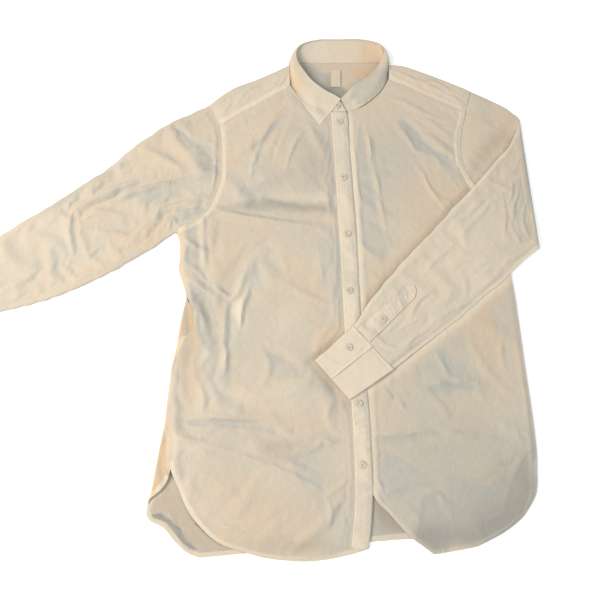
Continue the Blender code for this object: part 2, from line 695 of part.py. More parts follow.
# A cuff whose two ends lap over each other on top
def make_lapped_cuff():
    rings = []
    for part in np.linspace(0, 1, 6):
        low, high = (np.array(row) for row in LEFT_CUFF)
        row = TubeRow(*(low + (high - low) * part))
        start = np.array((row.edge_x, row.edge_y))
        stop = np.array((row.far_x, row.far_y))
        width = np.linalg.norm(stop - start)
        upper = CUFF_UPPER_TOP / 2
        lower = CUFF_LOWER_TOP / 2
        path = [(a, CUFF_UPPER_TOP) for a in np.linspace(width * CUFF_LAP, upper, 7)]
        for angle in np.linspace(0, math.pi, 6)[1:]:
            path.append((upper - upper * math.sin(angle), upper + upper * math.cos(angle)))
        path += [(a, 0) for a in np.linspace(upper, width - lower, 8)[1:]]
        for angle in np.linspace(0, math.pi, 5)[1:]:
            path.append((width - lower + lower * math.sin(angle), lower - lower * math.cos(angle)))
        path += [(a, CUFF_LOWER_TOP) for a in np.linspace(width - lower, width * CUFF_TUCK, 9)[1:]]
        direction = (stop - start) / width
        rings.append([(*(start + direction * a), row.middle + z) for a, z in path])
    under, over = shell(np.array(rings), CLOTH)
    return wall("cuff_left", under, over, doubled_poplin)


def cuff_top(across, along):
    low, high = (np.array(row) for row in LEFT_CUFF)
    row = TubeRow(*(low + (high - low) * along))
    x = row.edge_x + (row.far_x - row.edge_x) * across
    y = row.edge_y + (row.far_y - row.edge_y) * across
    return x, y, row.middle + CUFF_UPPER_TOP + HALF


# Top of the folded forearm at a place along the rows and a share across them
def forearm_top(place, share):
    line = smooth(sleeve_lines(LEFT_SLEEVE, LEFT_ARMHOLE, 0, 48), [place])[0]
    x = np.interp(share, np.linspace(0, 1, 49), line[:, 0])
    y = np.interp(share, np.linspace(0, 1, 49), line[:, 1])
    rows = np.array([(row.middle, row.half) for row in LEFT_SLEEVE])
    middle = np.interp(place - 1, range(len(rows)), rows[:, 0])
    half = np.interp(place - 1, range(len(rows)), rows[:, 1])
    return x, y, middle + half


def make_sleeve_placket():
    ends = ((13.93, 0.06, 0.36), (13.5, 0.10, 0.385), (13.0, 0.165, 0.42), (12.4, 0.21, 0.45),
            (12.2, 0.235, 0.435), (12.08, 0.28, 0.38))
    rows = evenly(ends, 12)
    grid = []
    for place_along, left, right in rows:
        grid.append([forearm_top(place_along, share) for share in np.linspace(left, right, 5)])
    under = np.array(grid)
    under[:, :, 2] += GAP
    over = under + np.array((0, 0, CLOTH))
    return wall("sleeve_placket", under, over, doubled_poplin)


def make_stand():
    rows = evenly(STAND, 48)
    share = np.linspace(0, 1, 4)
    grid = rows[:, None, :3] * (1 - share[None, :, None]) + rows[:, None, 3:] * share[None, :, None]
    under, over = shell(grid, CLOTH)
    return wall("collar_stand", under, over, doubled_poplin)


def make_leaf():
    rows = evenly(LEAF, 46)
    share = np.linspace(0, 1, 7)[None, :, None]
    fold, roll, tip = rows[:, None, 0:3], rows[:, None, 3:6], rows[:, None, 6:9]
    grid = fold * (1 - share) ** 2 + roll * 2 * share * (1 - share) + tip * share**2
    under, over = shell(grid, CLOTH)
    return wall("collar_leaf", under, over, doubled_poplin)


def make_button(name, x, y, z):
    mesh = bmesh.new()
    bmesh.ops.create_circle(mesh, cap_ends=True, segments=BUTTON_FACETS, radius=BUTTON_WIDTH / 2 * METRES)
    base = mesh.faces[:]
    raised = bmesh.ops.extrude_face_region(mesh, geom=base)
    lifted = [item for item in raised["geom"] if isinstance(item, bmesh.types.BMVert)]
    bmesh.ops.translate(mesh, verts=lifted, vec=(0, 0, BUTTON_DEPTH * METRES))
    top = [item for item in raised["geom"] if isinstance(item, bmesh.types.BMFace)]
    bmesh.ops.inset_individual(mesh, faces=top, thickness=1.4 * METRES, depth=0)
    bmesh.ops.inset_individual(mesh, faces=top, thickness=0.5 * METRES, depth=-0.5 * METRES)
    bmesh.ops.recalc_face_normals(mesh, faces=mesh.faces)
    bmesh.ops.translate(mesh, verts=mesh.verts, vec=(x * METRES, y * METRES, z * METRES))
    return place(name, mesh, pearl)


def make_label():
    x = LABEL_CENTRE[0] + np.array(((-1, 1), (-1, 1))) * LABEL_WIDTH / 2
    y = LABEL_CENTRE[1] + np.array(((1, 1), (-1, -1))) * LABEL_LENGTH / 2
    under = np.dstack((x, y, np.full((2, 2), CLOTH + GAP)))
    over = np.dstack((x, y, np.full((2, 2), CLOTH + GAP + LABEL_DEPTH)))
    return wall("neck_label", under, over, label_tape)


make_back()
make_yoke()
make_front_left()
make_front_right()
make_placket()
make_sleeve("sleeve_right", RIGHT_SLEEVE, RIGHT_ARMHOLE, -1.0, RIGHT_SLEEVE_FOLDS,
            np.concatenate((np.linspace(0, 6, 15), np.linspace(6.4, 8, 5))))
make_sleeve("sleeve_left", LEFT_SLEEVE, LEFT_ARMHOLE, 1.0, LEFT_SLEEVE_FOLDS,
            np.concatenate((np.linspace(0, 2, 5), np.linspace(2.5, 6, 8), np.linspace(6.6, 14, 12))))
make_sleeve("cuff_right", RIGHT_CUFF, None, 0, (), np.linspace(0, 1, 4))
make_lapped_cuff()
make_sleeve_placket()
make_stand()
make_leaf()
make_label()
for number, (button_x, button_y) in enumerate(BUTTON_PLACES, 1):
    make_button(f"button_{number}", button_x, button_y, PLACKET_LEVEL + CLOTH + BUTTON_RISE)
make_button("button_stand", *STAND_BUTTON)
cuff_x, cuff_y, cuff_z = cuff_top(CUFF_BUTTON_ACROSS, CUFF_BUTTON_ALONG)
make_button("button_cuff", cuff_x, cuff_y, cuff_z + 2 * BUTTON_RISE)
sleeve_x, sleeve_y, sleeve_z = forearm_top(*SLEEVE_BUTTON)
make_button("button_sleeve", sleeve_x, sleeve_y, sleeve_z + GAP + CLOTH + 2 * BUTTON_RISE)
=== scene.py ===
import math

import bmesh
import bpy
import numpy as np
from mathutils import Matrix, Vector, geometry
from mathutils.bvhtree import BVHTree


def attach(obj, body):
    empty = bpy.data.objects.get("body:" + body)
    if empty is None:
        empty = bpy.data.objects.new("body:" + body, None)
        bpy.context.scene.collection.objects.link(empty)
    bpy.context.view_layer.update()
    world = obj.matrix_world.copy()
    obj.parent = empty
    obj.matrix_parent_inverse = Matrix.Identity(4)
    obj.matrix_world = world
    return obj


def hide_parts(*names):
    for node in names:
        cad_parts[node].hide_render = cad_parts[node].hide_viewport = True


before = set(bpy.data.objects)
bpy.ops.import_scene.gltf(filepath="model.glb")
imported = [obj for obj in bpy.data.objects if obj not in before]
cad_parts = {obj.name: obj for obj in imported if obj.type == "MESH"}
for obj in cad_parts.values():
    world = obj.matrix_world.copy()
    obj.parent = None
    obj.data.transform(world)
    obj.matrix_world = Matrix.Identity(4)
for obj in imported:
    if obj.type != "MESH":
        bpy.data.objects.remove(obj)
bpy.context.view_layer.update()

# Everything below is in millimetres until a mesh is made. X runs to the wearer's left,
# Y to the collar, Z up from the floor. The right side of the blouse is on the left of the picture.
millimetre = 0.001
blouseMiddle = (9.1, -2.4)      # what the solids were moved by to centre them

view = {"place": (0.139, -0.115, 0.830), "tilt": 6.3, "lens": 31.2}

clothLayer = {"thick": 1.4, "step": 1.8, "shell": 0.75}
frontLevel = clothLayer["step"]
lapLevel = 2 * clothLayer["step"]

# numbers along tables


def smooth(rows, places):       # a smooth curve through the rows of a table
    table = np.array(rows, float)
    last = len(table) - 1
    places = np.clip(np.asarray(places, float), 0, last)
    start = np.minimum(places.astype(int), last - 1)
    part = (places - start).reshape((-1,) + (1,) * (table.ndim - 1))
    before = table[np.maximum(start - 1, 0)]
    here = table[start]
    there = table[start + 1]
    after = table[np.minimum(start + 2, last)]
    slopeHere = (there - before) / 2
    slopeThere = (after - here) / 2
    return (
        here * (1 + 2 * part) * (1 - part) ** 2
        + slopeHere * part * (1 - part) ** 2
        + there * part**2 * (3 - 2 * part)
        - slopeThere * part**2 * (1 - part)
    )


def evenly(rows, count):
    return smooth(rows, np.linspace(0, len(rows) - 1, count + 1))


def ramp(distance, first, second):
    part = np.clip((distance - first) / (second - first), 0, 1)
    return part * part * (3 - 2 * part)


def lineDistance(x, y, line):   # distance to a line of points, and the length along it of the nearest one
    best = np.full(x.shape, 1e9)
    place = np.zeros(x.shape)
    gone = 0.0
    for start, stop in zip(line[:-1], line[1:]):
        run = np.asarray(stop, float) - start
        length = math.hypot(*run)
        if length < 1e-6:
            continue
        along = np.clip(((x - start[0]) * run[0] + (y - start[1]) * run[1]) / length**2, 0, 1)
        away = np.hypot(x - start[0] - along * run[0], y - start[1] - along * run[1])
        near = away < best
        best = np.where(near, away, best)
        place = np.where(near, gone + along * length, place)
        gone += length
    return best, place


def edgeOf(x, y, column):       # the points down one column of a panel
    return np.column_stack((x[:, column], y[:, column]))


def rowOf(x, y, row):
    return np.column_stack((x[row], y[row]))


def groove(border, place, width, depth):        # the dent of a row of stitches
    return depth * np.exp(-(((border - place) / width) ** 2))


def sheetLengths(points):       # lengths along the rows and down the columns of a grid of points
    across = np.cumsum(np.linalg.norm(np.diff(points, axis=1, prepend=points[:, :1]), axis=2), axis=1)
    down = np.cumsum(np.linalg.norm(np.diff(points, axis=0, prepend=points[:1]), axis=2), axis=0)
    return across, down


def normalsOf(points):
    normal = np.cross(np.gradient(points, axis=1), np.gradient(points, axis=0))
    return normal / np.maximum(np.linalg.norm(normal, axis=2, keepdims=True), 1e-9)


def outwardNormals(points, upRow, upColumn):    # turned so that they point up at one place
    normal = normalsOf(points)
    return normal if normal[upRow, upColumn, 2] > 0 else -normal


def inScene(x, y, z):           # from the millimetres of the tables to the scene
    return Vector(((x - blouseMiddle[0]) * millimetre, (y - blouseMiddle[1]) * millimetre, z * millimetre))


# crumples


def wander(x, y, size, seed):   # slow drift between -1 and 1
    rng = np.random.default_rng(seed)
    total = np.zeros_like(x)
    for turn in rng.uniform(0, math.tau, 5):
        scale = size * rng.uniform(0.6, 1.5)
        phase = rng.uniform(0, math.tau)
        total += np.sin((x * math.cos(turn) + y * math.sin(turn)) / scale * math.tau + phase)
    return total / 3.2


def creaseHeights(x, y, creases, narrow=1.2, wide=0.6, drift=1.6):
    x = x + wander(x, y, 46, 11) * drift
    y = y + wander(x, y, 39, 12) * drift
    total = np.zeros_like(x)
    for left, right, height, *path in creases:
        height = height * (narrow if min(left, right) <= 7 else wide)
        path = evenly(path, 2 * len(path)) if len(path) > 2 else np.array(path, float)
        runs = np.diff(path, axis=0)
        lengths = np.hypot(runs[:, 0], runs[:, 1])
        whole = lengths.sum()
        best = np.full(x.shape, 1e9)
        side = np.zeros_like(x)
        place = np.zeros_like(x)
        gone = 0.0
        for start, run, length in zip(path, runs, lengths):
            dx = x - start[0]
            dy = y - start[1]
            along = np.clip((dx * run[0] + dy * run[1]) / length**2, 0, 1)
            away = np.hypot(dx - along * run[0], dy - along * run[1])
            near = away < best
            best = np.where(near, away, best)
            side = np.where(near, dx * run[1] - dy * run[0], side)
            place = np.where(near, (gone + along * length) / whole, place)
            gone += length
        width = np.where(side > 0, right, left) * (0.55 + 0.45 * np.sin(math.pi * place))
        taper = np.sin(math.pi * np.clip(place, 0.001, 0.999)) ** 0.7
        total += height * taper * np.clip(1 - best / width, 0, 1) ** 1.55
    return total


def facets(x, y, size, height, seed, turn=0.0, stretch=1.0):
    # flat facets with straight creases between
    rng = np.random.default_rng(seed)
    c, s = math.cos(turn), math.sin(turn)
    along = (x * c + y * s) / stretch
    across = y * c - x * s
    lowA, lowB = along.min() - 2 * size, across.min() - 2 * size
    countA = int((along.max() - lowA) / size) + 3
    countB = int((across.max() - lowB) / size) + 3
    corners = []
    for i in range(countA):
        for j in range(countB):
            spot = (lowA + (i + rng.uniform(-0.46, 0.46)) * size, lowB + (j + rng.uniform(-0.46, 0.46)) * size)
            corners.append(Vector(spot))
    found = geometry.delaunay_2d_cdt(corners, [], [], 0, 1e-4)
    heights = rng.uniform(-1, 1, len(found[0]))
    tree = BVHTree.FromPolygons([(p.x, p.y, h) for p, h in zip(found[0], heights)], found[2])
    down = Vector((0, 0, -1))
    places = zip(along.ravel(), across.ravel())
    drop = np.array([tree.ray_cast(Vector((a, b, 5)), down)[3] or 5 for a, b in places])
    return (5 - drop).reshape(x.shape) * height


def crumpled(x, y, sizes):      # facets of several sizes: size, height, seed, turn and stretch
    return sum(facets(x, y, *size) for size in sizes)


def soften(values, times):      # rounds the crests a little
    for _ in range(times):
        padded = np.pad(values, 1, mode="edge")
        values = (
            4 * values + padded[:-2, 1:-1] + padded[2:, 1:-1] + padded[1:-1, :-2] + padded[1:-1, 2:]
        ) / 8
    return values


def keepAbove(values, floor, give=0.5):     # a soft lower limit
    return floor + give * np.logaddexp(0, (values - floor) / give)


# cloth that settles by itself
settling = {"frames": 14, "spacing": 3.5, "pull": 3.0, "clearance": 0.0008}


def resample(grid, rows, columns):
    down = smooth(grid, np.linspace(0, len(grid) - 1, rows))
    return np.swapaxes(smooth(np.swapaxes(down, 0, 1), np.linspace(0, grid.shape[1] - 1, columns)), 0, 1)


def looseGrid(name, points):    # a plain grid through the points, facing up, and the point of each vertex
    rows, columns = points.shape[:2]
    mesh = bmesh.new()
    bmesh.ops.create_grid(mesh, x_segments=columns - 1, y_segments=rows - 1, size=0.5)
    spots = [(round((v.co.y + 0.5) * (rows - 1)), round((v.co.x + 0.5) * (columns - 1))) for v in mesh.verts]
    for vert, spot in zip(mesh.verts, spots):
        vert.co = points[spot] * millimetre
    mesh.normal_update()
    if sum(face.normal.z for face in mesh.faces) < 0:
        bmesh.ops.reverse_faces(mesh, faces=mesh.faces)
    data = bpy.data.meshes.new(name)
    mesh.to_mesh(data)
    mesh.free()
    made = bpy.data.objects.new(name, data)
    bpy.context.scene.collection.objects.link(made)
    return made, spots


def settle(points, held, under, growth, bend):
    # the cloth has a little more length than room, so it buckles, and comes to rest on what is under it
    rows = int(np.linalg.norm(np.diff(points, axis=0), axis=2).mean() * len(points) / settling["spacing"])
    stride = np.linalg.norm(np.diff(points, axis=1), axis=2).mean()
    columns = int(stride * points.shape[1] / settling["spacing"])
    start = resample(points, rows, columns)
    hold = np.clip(resample(held, rows, columns), 0, 1)
    low = resample(under, rows, columns)
    start[:, :, 2] = np.maximum(start[:, :, 2], low + 1.0)
    cloth, spots = looseGrid("settling_cloth", start)
    ground, _ = looseGrid("settling_ground", np.dstack((start[:, :, 0], start[:, :, 1], low)))
    group = cloth.vertex_groups.new(name="held")
    for index, spot in enumerate(spots):
        if hold[spot] > 0.01:
            group.add([index], float(hold[spot]), "REPLACE")
    modifier = cloth.modifiers.new("settle", "CLOTH")
    fabric = modifier.settings
    fabric.quality = 5
    fabric.mass = 0.05
    fabric.tension_stiffness = fabric.compression_stiffness = 25
    fabric.shear_stiffness = 8
    fabric.bending_stiffness = bend
    fabric.tension_damping = fabric.compression_damping = fabric.shear_damping = 10
    fabric.bending_damping = 0.5
    fabric.air_damping = 2
    fabric.shrink_min = -growth
    fabric.shrink_max = 0
    fabric.vertex_group_shrink = "held"
    fabric.vertex_group_mass = "held"
    modifier.collision_settings.collision_quality = 2
    modifier.collision_settings.distance_min = 0.0005
    modifier.point_cache.frame_end = settling["frames"]
    ground.modifiers.new("ground", "COLLISION")
    ground.collision.thickness_outer = settling["clearance"]
    bpy.context.scene.gravity = (0, 0, -settling["pull"])
    for step in range(1, settling["frames"] + 1):
        bpy.context.scene.frame_set(step)
    posed = cloth.evaluated_get(bpy.context.evaluated_depsgraph_get())
    flat = np.zeros(len(posed.data.vertices) * 3)
    posed.data.vertices.foreach_get("co", flat)
    settled = start.copy()
    for spot, place in zip(spots, flat.reshape(-1, 3) / millimetre):
        settled[spot] = place
    for made in (cloth, ground):
        data = made.data
        bpy.data.objects.remove(made)
        bpy.data.meshes.remove(data)
    bpy.context.scene.frame_set(1)
    moved = resample(np.where(hold[:, :, None] > 0.97, 0, settled - start), *points.shape[:2])
    result = points + moved * (1 - np.clip(held, 0, 1)[:, :, None])
    result[:, :, 2] = np.maximum(result[:, :, 2], under + 0.6)
    return result


# making pieces
madePieces = {}


def buildSheet(
    name, top, thickness, material, wrap=False, layers=None, warmthAndPaintedLight=None, hole=None, up=None, centred=False
):
    # a sheet through a grid of points, given its thickness away from the side that shows
    rows, columns = top.shape[:2]
    mesh = bmesh.new()
    bmesh.ops.create_grid(mesh, x_segments=columns - 1, y_segments=rows - 1, size=0.5, calc_uvs=True)
    # the two vertex attributes carry painted light and shade as well as doubled cloth and tone
    layersAndPaintedLightLayer = mesh.verts.layers.float.new("layers")
    warmthAndPaintedLightLayer = mesh.verts.layers.float.new("warmthAndPaintedLight")
    lengthU = np.concatenate(([0], np.cumsum(np.linalg.norm(np.diff(top, axis=1), axis=2).mean(axis=0))))
    lengthV = np.concatenate(([0], np.cumsum(np.linalg.norm(np.diff(top, axis=0), axis=2).mean(axis=1))))
    cell = {}
    for vert in mesh.verts:
        spot = (round((vert.co.y + 0.5) * (rows - 1)), round((vert.co.x + 0.5) * (columns - 1)))
        cell[vert] = spot
        vert[layersAndPaintedLightLayer] = 0.0 if layers is None else float(layers[spot])
        vert[warmthAndPaintedLightLayer] = 0.5 if warmthAndPaintedLight is None else float(warmthAndPaintedLight[spot])
    uvLayer = mesh.loops.layers.uv.verify()
    for face in mesh.faces:
        for loop in face.loops:
            r, c = cell[loop.vert]
            loop[uvLayer].uv = (lengthU[c] * millimetre, lengthV[r] * millimetre)
    shift = np.array((*blouseMiddle, 0))
    for vert, spot in cell.items():
        vert.co = (top[spot] - shift) * millimetre
    if hole is not None:
        gone = [
            face for face in mesh.faces
            if hole(min(cell[v][0] for v in face.verts), min(cell[v][1] for v in face.verts))
        ]
        bmesh.ops.delete(mesh, geom=gone, context="FACES")
    marked = [vert for vert, spot in cell.items() if spot == up] if up else []
    mesh.normal_update()
    facing = marked[0].normal.z if marked else sum(face.normal.z * face.calc_area() for face in mesh.faces)
    if wrap:
        bmesh.ops.remove_doubles(mesh, verts=mesh.verts, dist=1e-7)
        facing = mesh.calc_volume(signed=True)
    if facing < 0:
        bmesh.ops.reverse_faces(mesh, faces=mesh.faces)
    mesh.normal_update()
    outer = mesh.verts[:]
    normals = [vert.normal.copy() for vert in outer]
    made = bmesh.ops.extrude_face_region(mesh, geom=mesh.faces[:], use_keep_orig=True)
    twins = matchTwins(outer, [item for item in made["geom"] if isinstance(item, bmesh.types.BMVert)])
    for vert, twin, normal in zip(outer, twins, normals):
        rise = thickness / 2 if centred else 0
        twin.co = vert.co - normal * (thickness - rise) * millimetre
        vert.co = vert.co + normal * rise * millimetre
    bmesh.ops.recalc_face_normals(mesh, faces=mesh.faces)
    return finishPiece(name, mesh, material)


def matchTwins(outer, inner):   # the extruded copies, in the order of the points that they came from
    byPlace = {}
    for twin in inner:
        byPlace.setdefault(tuple(twin.co), []).append(twin)
    return [byPlace[tuple(vert.co)].pop() for vert in outer]


def finishPiece(name, mesh, material, sharp=50):
    data = bpy.data.meshes.new(name)
    mesh.to_mesh(data)
    mesh.free()
    data.materials.append(material)
    data.shade_smooth()
    data.set_sharp_from_angle(angle=math.radians(sharp))
    piece = bpy.data.objects.new(name, data)
    bpy.context.scene.collection.objects.link(piece)
    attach(piece, "root")
    madePieces[name] = piece
    return piece


# materials


class Wire:                     # a node's output that can be reckoned with
    def __init__(self, maker, socket):
        self.maker = maker
        self.socket = socket

    def reckon(self, operation, first, second):
        return self.maker.node("ShaderNodeMath", {"operation": operation}, {0: first, 1: second})

    def __add__(self, other):
        return self.reckon("ADD", self, other)

    def __radd__(self, other):
        return self.reckon("ADD", other, self)

    def __mul__(self, other):
        return self.reckon("MULTIPLY", self, other)

    def __sub__(self, other):
        return self.reckon("SUBTRACT", self, other)

    def __rsub__(self, other):
        return self.reckon("SUBTRACT", other, self)

    def __rmul__(self, other):
        return self.reckon("MULTIPLY", other, self)

    def __pow__(self, other):
        return self.reckon("POWER", self, other)


class Finish:                   # one material and its nodes
    def __init__(self, name, settings):
        self.material = bpy.data.materials.new(name)
        self.material.use_nodes = True
        self.tree = self.material.node_tree
        self.shader = self.tree.nodes["Principled BSDF"]
        for socket, value in settings.items():
            self.shader.inputs[socket].default_value = value

    def node(self, kind, settings=None, inputs=None, output=0):
        made = self.tree.nodes.new(kind)
        for key, value in (settings or {}).items():
            setattr(made, key, value)
        for key, value in (inputs or {}).items():
            self.feed(made.inputs[key], value)
        return Wire(self, made.outputs[output])

    def feed(self, socket, value):
        if isinstance(value, Wire):
            self.tree.links.new(value.socket, socket)
        else:
            socket.default_value = value

    def shade(self, socket, value):
        self.feed(self.shader.inputs[socket], value)

    def blend(self, share, first, second):
        return self.node("ShaderNodeMix", {"data_type": "RGBA"}, {0: share, 6: first, 7: second}, 2)

    def noise(self, where, scale, detail=2.0, roughness=0.5, output=0):
        inputs = {"Vector": where, "Scale": scale, "Detail": detail, "Roughness": roughness}
        return self.node("ShaderNodeTexNoise", {}, inputs, output)

    def cells(self, where, scale):
        sockets = {"Vector": where, "Scale": scale}
        return self.node("ShaderNodeTexVoronoi", {"feature": "DISTANCE_TO_EDGE"}, sockets)

    def spread(self, value, low, high):
        sockets = {0: value, 1: low, 2: high}
        return self.node("ShaderNodeMapRange", {"interpolation_type": "SMOOTHSTEP"}, sockets)

    def bump(self, height, distance, strength=1.0, below=None):
        inputs = {"Height": height, "Distance": distance, "Strength": strength}
        if below is not None:
            inputs["Normal"] = below
        return self.node("ShaderNodeBump", {}, inputs)


# peach, amber, grey and shade stand for painted light and shade, chosen per vertex: peach and amber where the
# warm light falls, grey-green and brown where it is shaded; grey also varies at random; dim is painted shade,
# and the pale doubled colour is both doubled cloth and painted light
poplinLook = {
    "cream": (0.566, 0.493, 0.394, 1),
    "peach": (0.578, 0.460, 0.341, 1),
    "amber": (0.620, 0.440, 0.270, 1),
    "grey": (0.440, 0.425, 0.380, 1),
    "doubledAndLit": (0.680, 0.590, 0.468, 1),
    "dim": (0.290, 0.275, 0.240, 1),
    "shade": (0.36, 0.285, 0.205, 1),
    "slubTone": (0.86, 0.79, 0.66, 1),
    "weave": 1500.0, "slub": 0.10, "drift": 0.02,
    "crumple": 0.0008, "wrinkle": 0.0004, "crease": 0.0009, "thread": 0.00003,
}


def poplin(name, look, doubledAndLit=0.0):
    cloth = Finish(
        name, {"Roughness": 0.8, "Sheen Weight": 0.12, "Sheen Roughness": 0.5, "Specular IOR Level": 0.25}
    )
    place = cloth.node("ShaderNodeTexCoord", output=3)
    layers = cloth.node("ShaderNodeAttribute", {"attribute_name": "layers"}, output=2)
    warmthAndPaintedLight = cloth.node("ShaderNodeAttribute", {"attribute_name": "warmthAndPaintedLight"}, output=2)
    uv = cloth.node("ShaderNodeUVMap")
    swirl = cloth.noise(place, 22.0, 2.0, output=1)
    bent = cloth.node(
        "ShaderNodeVectorMath", {"operation": "MULTIPLY_ADD"}, {0: swirl, 1: (look["drift"],) * 3, 2: place}
    )
    cloud = cloth.spread(cloth.noise(bent, 13.0, 3.0, 0.55), 0.38, 0.62)
    drift = cloth.spread(cloth.noise(bent, 7.5, 2.0, 0.5), 0.42, 0.62)
    tone = cloth.blend(cloud * 0.35, look["cream"], look["peach"])
    tone = cloth.blend(drift * 0.3, tone, look["grey"])
    # painted light and shade from the per-vertex tone: peach and amber where lit, grey-green and brown where
    # shaded
    tone = cloth.blend(cloth.spread(warmthAndPaintedLight, 0.5, 1.0) * 0.9, tone, look["peach"])
    tone = cloth.blend(cloth.spread(warmthAndPaintedLight, 1.0, 1.5) * 0.8, tone, look["amber"])
    tone = cloth.blend(cloth.spread(warmthAndPaintedLight, 0.5, 0.0) * 0.9, tone, look["grey"])
    tone = cloth.blend(cloth.spread(warmthAndPaintedLight, 0.0, -1.0) * 0.9, tone, look["shade"])
    # painted shade where the per-vertex layers value is below 0; above 0 the pale colour stands for doubled
    # cloth and for painted light
    tone = cloth.blend(layers * -1.0, tone, look["dim"])
    thick = cloth.node("ShaderNodeMath", {"operation": "MAXIMUM"}, {0: layers, 1: doubledAndLit})
    tone = cloth.blend(thick * (0.80 + 0.2 * cloud), tone, look["doubledAndLit"])
    fine = (look["weave"], look["weave"] * 0.12, 1)
    thread = cloth.node("ShaderNodeMapping", {}, {"Vector": uv, "Scale": fine})
    slub = cloth.noise(thread, 0.5, 1.0)
    tone = cloth.blend(cloth.spread(slub, 0.45, 0.8) * look["slub"], tone, look["slubTone"])
    cloth.shade("Base Color", tone)
    cloth.shade("Roughness", 0.72 + 0.16 * cloud)
    warp = cloth.node("ShaderNodeTexWave", {"bands_direction": "X"}, {"Vector": uv, "Scale": look["weave"] / 2})
    weft = cloth.node("ShaderNodeTexWave", {"bands_direction": "Y"}, {"Vector": uv, "Scale": look["weave"] / 2})
    fine = cloth.bump(cloth.noise(place, 120.0, 3.0, 0.6), look["wrinkle"])
    creased = cloth.bump(cloth.cells(bent, 46.0) + 0.5 * cloth.cells(bent, 105.0), look["crease"], 1.0, fine)
    broad = cloth.bump(cloth.noise(bent, 34.0, 3.0, 0.55), look["crumple"], 0.8, creased)
    weave = cloth.bump(warp * weft, look["thread"], 0.5, broad)
    cloth.shade("Normal", weave)
    return cloth.material


clothSingle = poplin("cream_poplin", poplinLook)
doubledLook = dict(poplinLook, crease=0.0006)
clothDoubled = poplin("cream_poplin_doubled", doubledLook, doubledAndLit=0.85)
# the doubled poplin with less of its paleness, so that painted light and shade show on the collar, plackets and
# cuff
clothDoubledShaded = poplin("cream_poplin_doubled_shaded", doubledLook, doubledAndLit=0.3)

threadLook = Finish("cotton_thread", {"Base Color": (0.62, 0.54, 0.43, 1), "Roughness": 0.7})
threadPlace = threadLook.node("ShaderNodeTexCoord", output=3)
threadTwist = threadLook.node(
    "ShaderNodeTexWave", {"bands_direction": "DIAGONAL"}, {"Vector": threadPlace, "Scale": 900.0}
)
threadLook.shade("Roughness", 0.6 + 0.2 * threadTwist)
threadLook.shade("Normal", threadLook.bump(threadTwist, 0.00005))
threadMaterial = threadLook.material

pearl = {"shade": (0.50, 0.44, 0.35, 1), "shine": (0.66, 0.60, 0.50, 1)}
pearlLook = Finish(
    "pearl_button",
    {"Roughness": 0.28, "Coat Weight": 0.5, "Coat Roughness": 0.12, "Specular IOR Level": 0.6},
)
pearlPlace = pearlLook.node("ShaderNodeTexCoord", output=3)
pearlCloud = pearlLook.noise(pearlPlace, 240.0, 3.0, 0.6)
pearlShare = pearlLook.spread(pearlCloud, 0.35, 0.7)
pearlLook.shade("Base Color", pearlLook.blend(pearlShare, pearl["shade"], pearl["shine"]))
pearlLook.shade("Roughness", 0.22 + 0.16 * pearlCloud)
pearlMaterial = pearlLook.material

tapeLook = Finish("label_tape", {"Roughness": 0.6, "Sheen Weight": 0.1})
tapeUv = tapeLook.node("ShaderNodeUVMap")
tapeRib = tapeLook.node(
    "ShaderNodeTexWave", {"bands_direction": "Y"}, {"Vector": tapeUv, "Scale": 420.0, "Distortion": 0.4}
)
tapeLook.shade("Base Color", tapeLook.blend(tapeRib, (0.60, 0.49, 0.36, 1), (0.67, 0.55, 0.41, 1)))
tapeLook.shade("Roughness", 0.55 + 0.15 * tapeRib)
tapeLook.shade("Normal", tapeLook.bump(tapeRib, 0.00008))
tapeMaterial = tapeLook.material

# camera, lights and floor
cameraData = bpy.data.cameras.new("camera")
cameraData.lens = view["lens"]
cameraData.sensor_width = 36
cameraData.clip_start = 0.01
camera = bpy.data.objects.new("camera", cameraData)
camera.location = (
    view["place"][0] - blouseMiddle[0] * millimetre,
    view["place"][1] - blouseMiddle[1] * millimetre,
    view["place"][2],
)
camera.rotation_euler = (math.radians(view["tilt"]), 0, 0)
bpy.context.scene.collection.objects.link(camera)
bpy.context.scene.camera = camera

studio = {
    "key": (-1.2, -0.06, 1.4), "keySize": 1.0, "keyPower": 31.5, "keyColour": (1.0, 0.93, 0.82),
    "fill": (0.9, -0.4, 1.4), "fillSize": 1.4, "fillPower": 4.0, "fillColour": (0.90, 0.96, 1.0),
    "sky": 0.60, "skyColour": (0.93, 0.97, 1.0, 1),
}


def softbox(name, place, size, power, colour):
    data = bpy.data.lights.new(name, "AREA")
    data.shape = "DISK"
    data.size = size
    data.energy = power
    data.color = colour
    lamp = bpy.data.objects.new(name, data)
    lamp.location = place
    lamp.rotation_euler = (-Vector(place)).to_track_quat("-Z", "Y").to_euler()
    bpy.context.scene.collection.objects.link(lamp)


softbox("key_light", studio["key"], studio["keySize"], studio["keyPower"], studio["keyColour"])
softbox("fill_light", studio["fill"], studio["fillSize"], studio["fillPower"], studio["fillColour"])
world = bpy.data.worlds.new("studio")
bpy.context.scene.world = world
world.use_nodes = True
sky = world.node_tree.nodes["Background"]
sky.inputs["Color"].default_value = studio["skyColour"]
sky.inputs["Strength"].default_value = studio["sky"]
bpy.context.scene.view_settings.view_transform = "Standard"

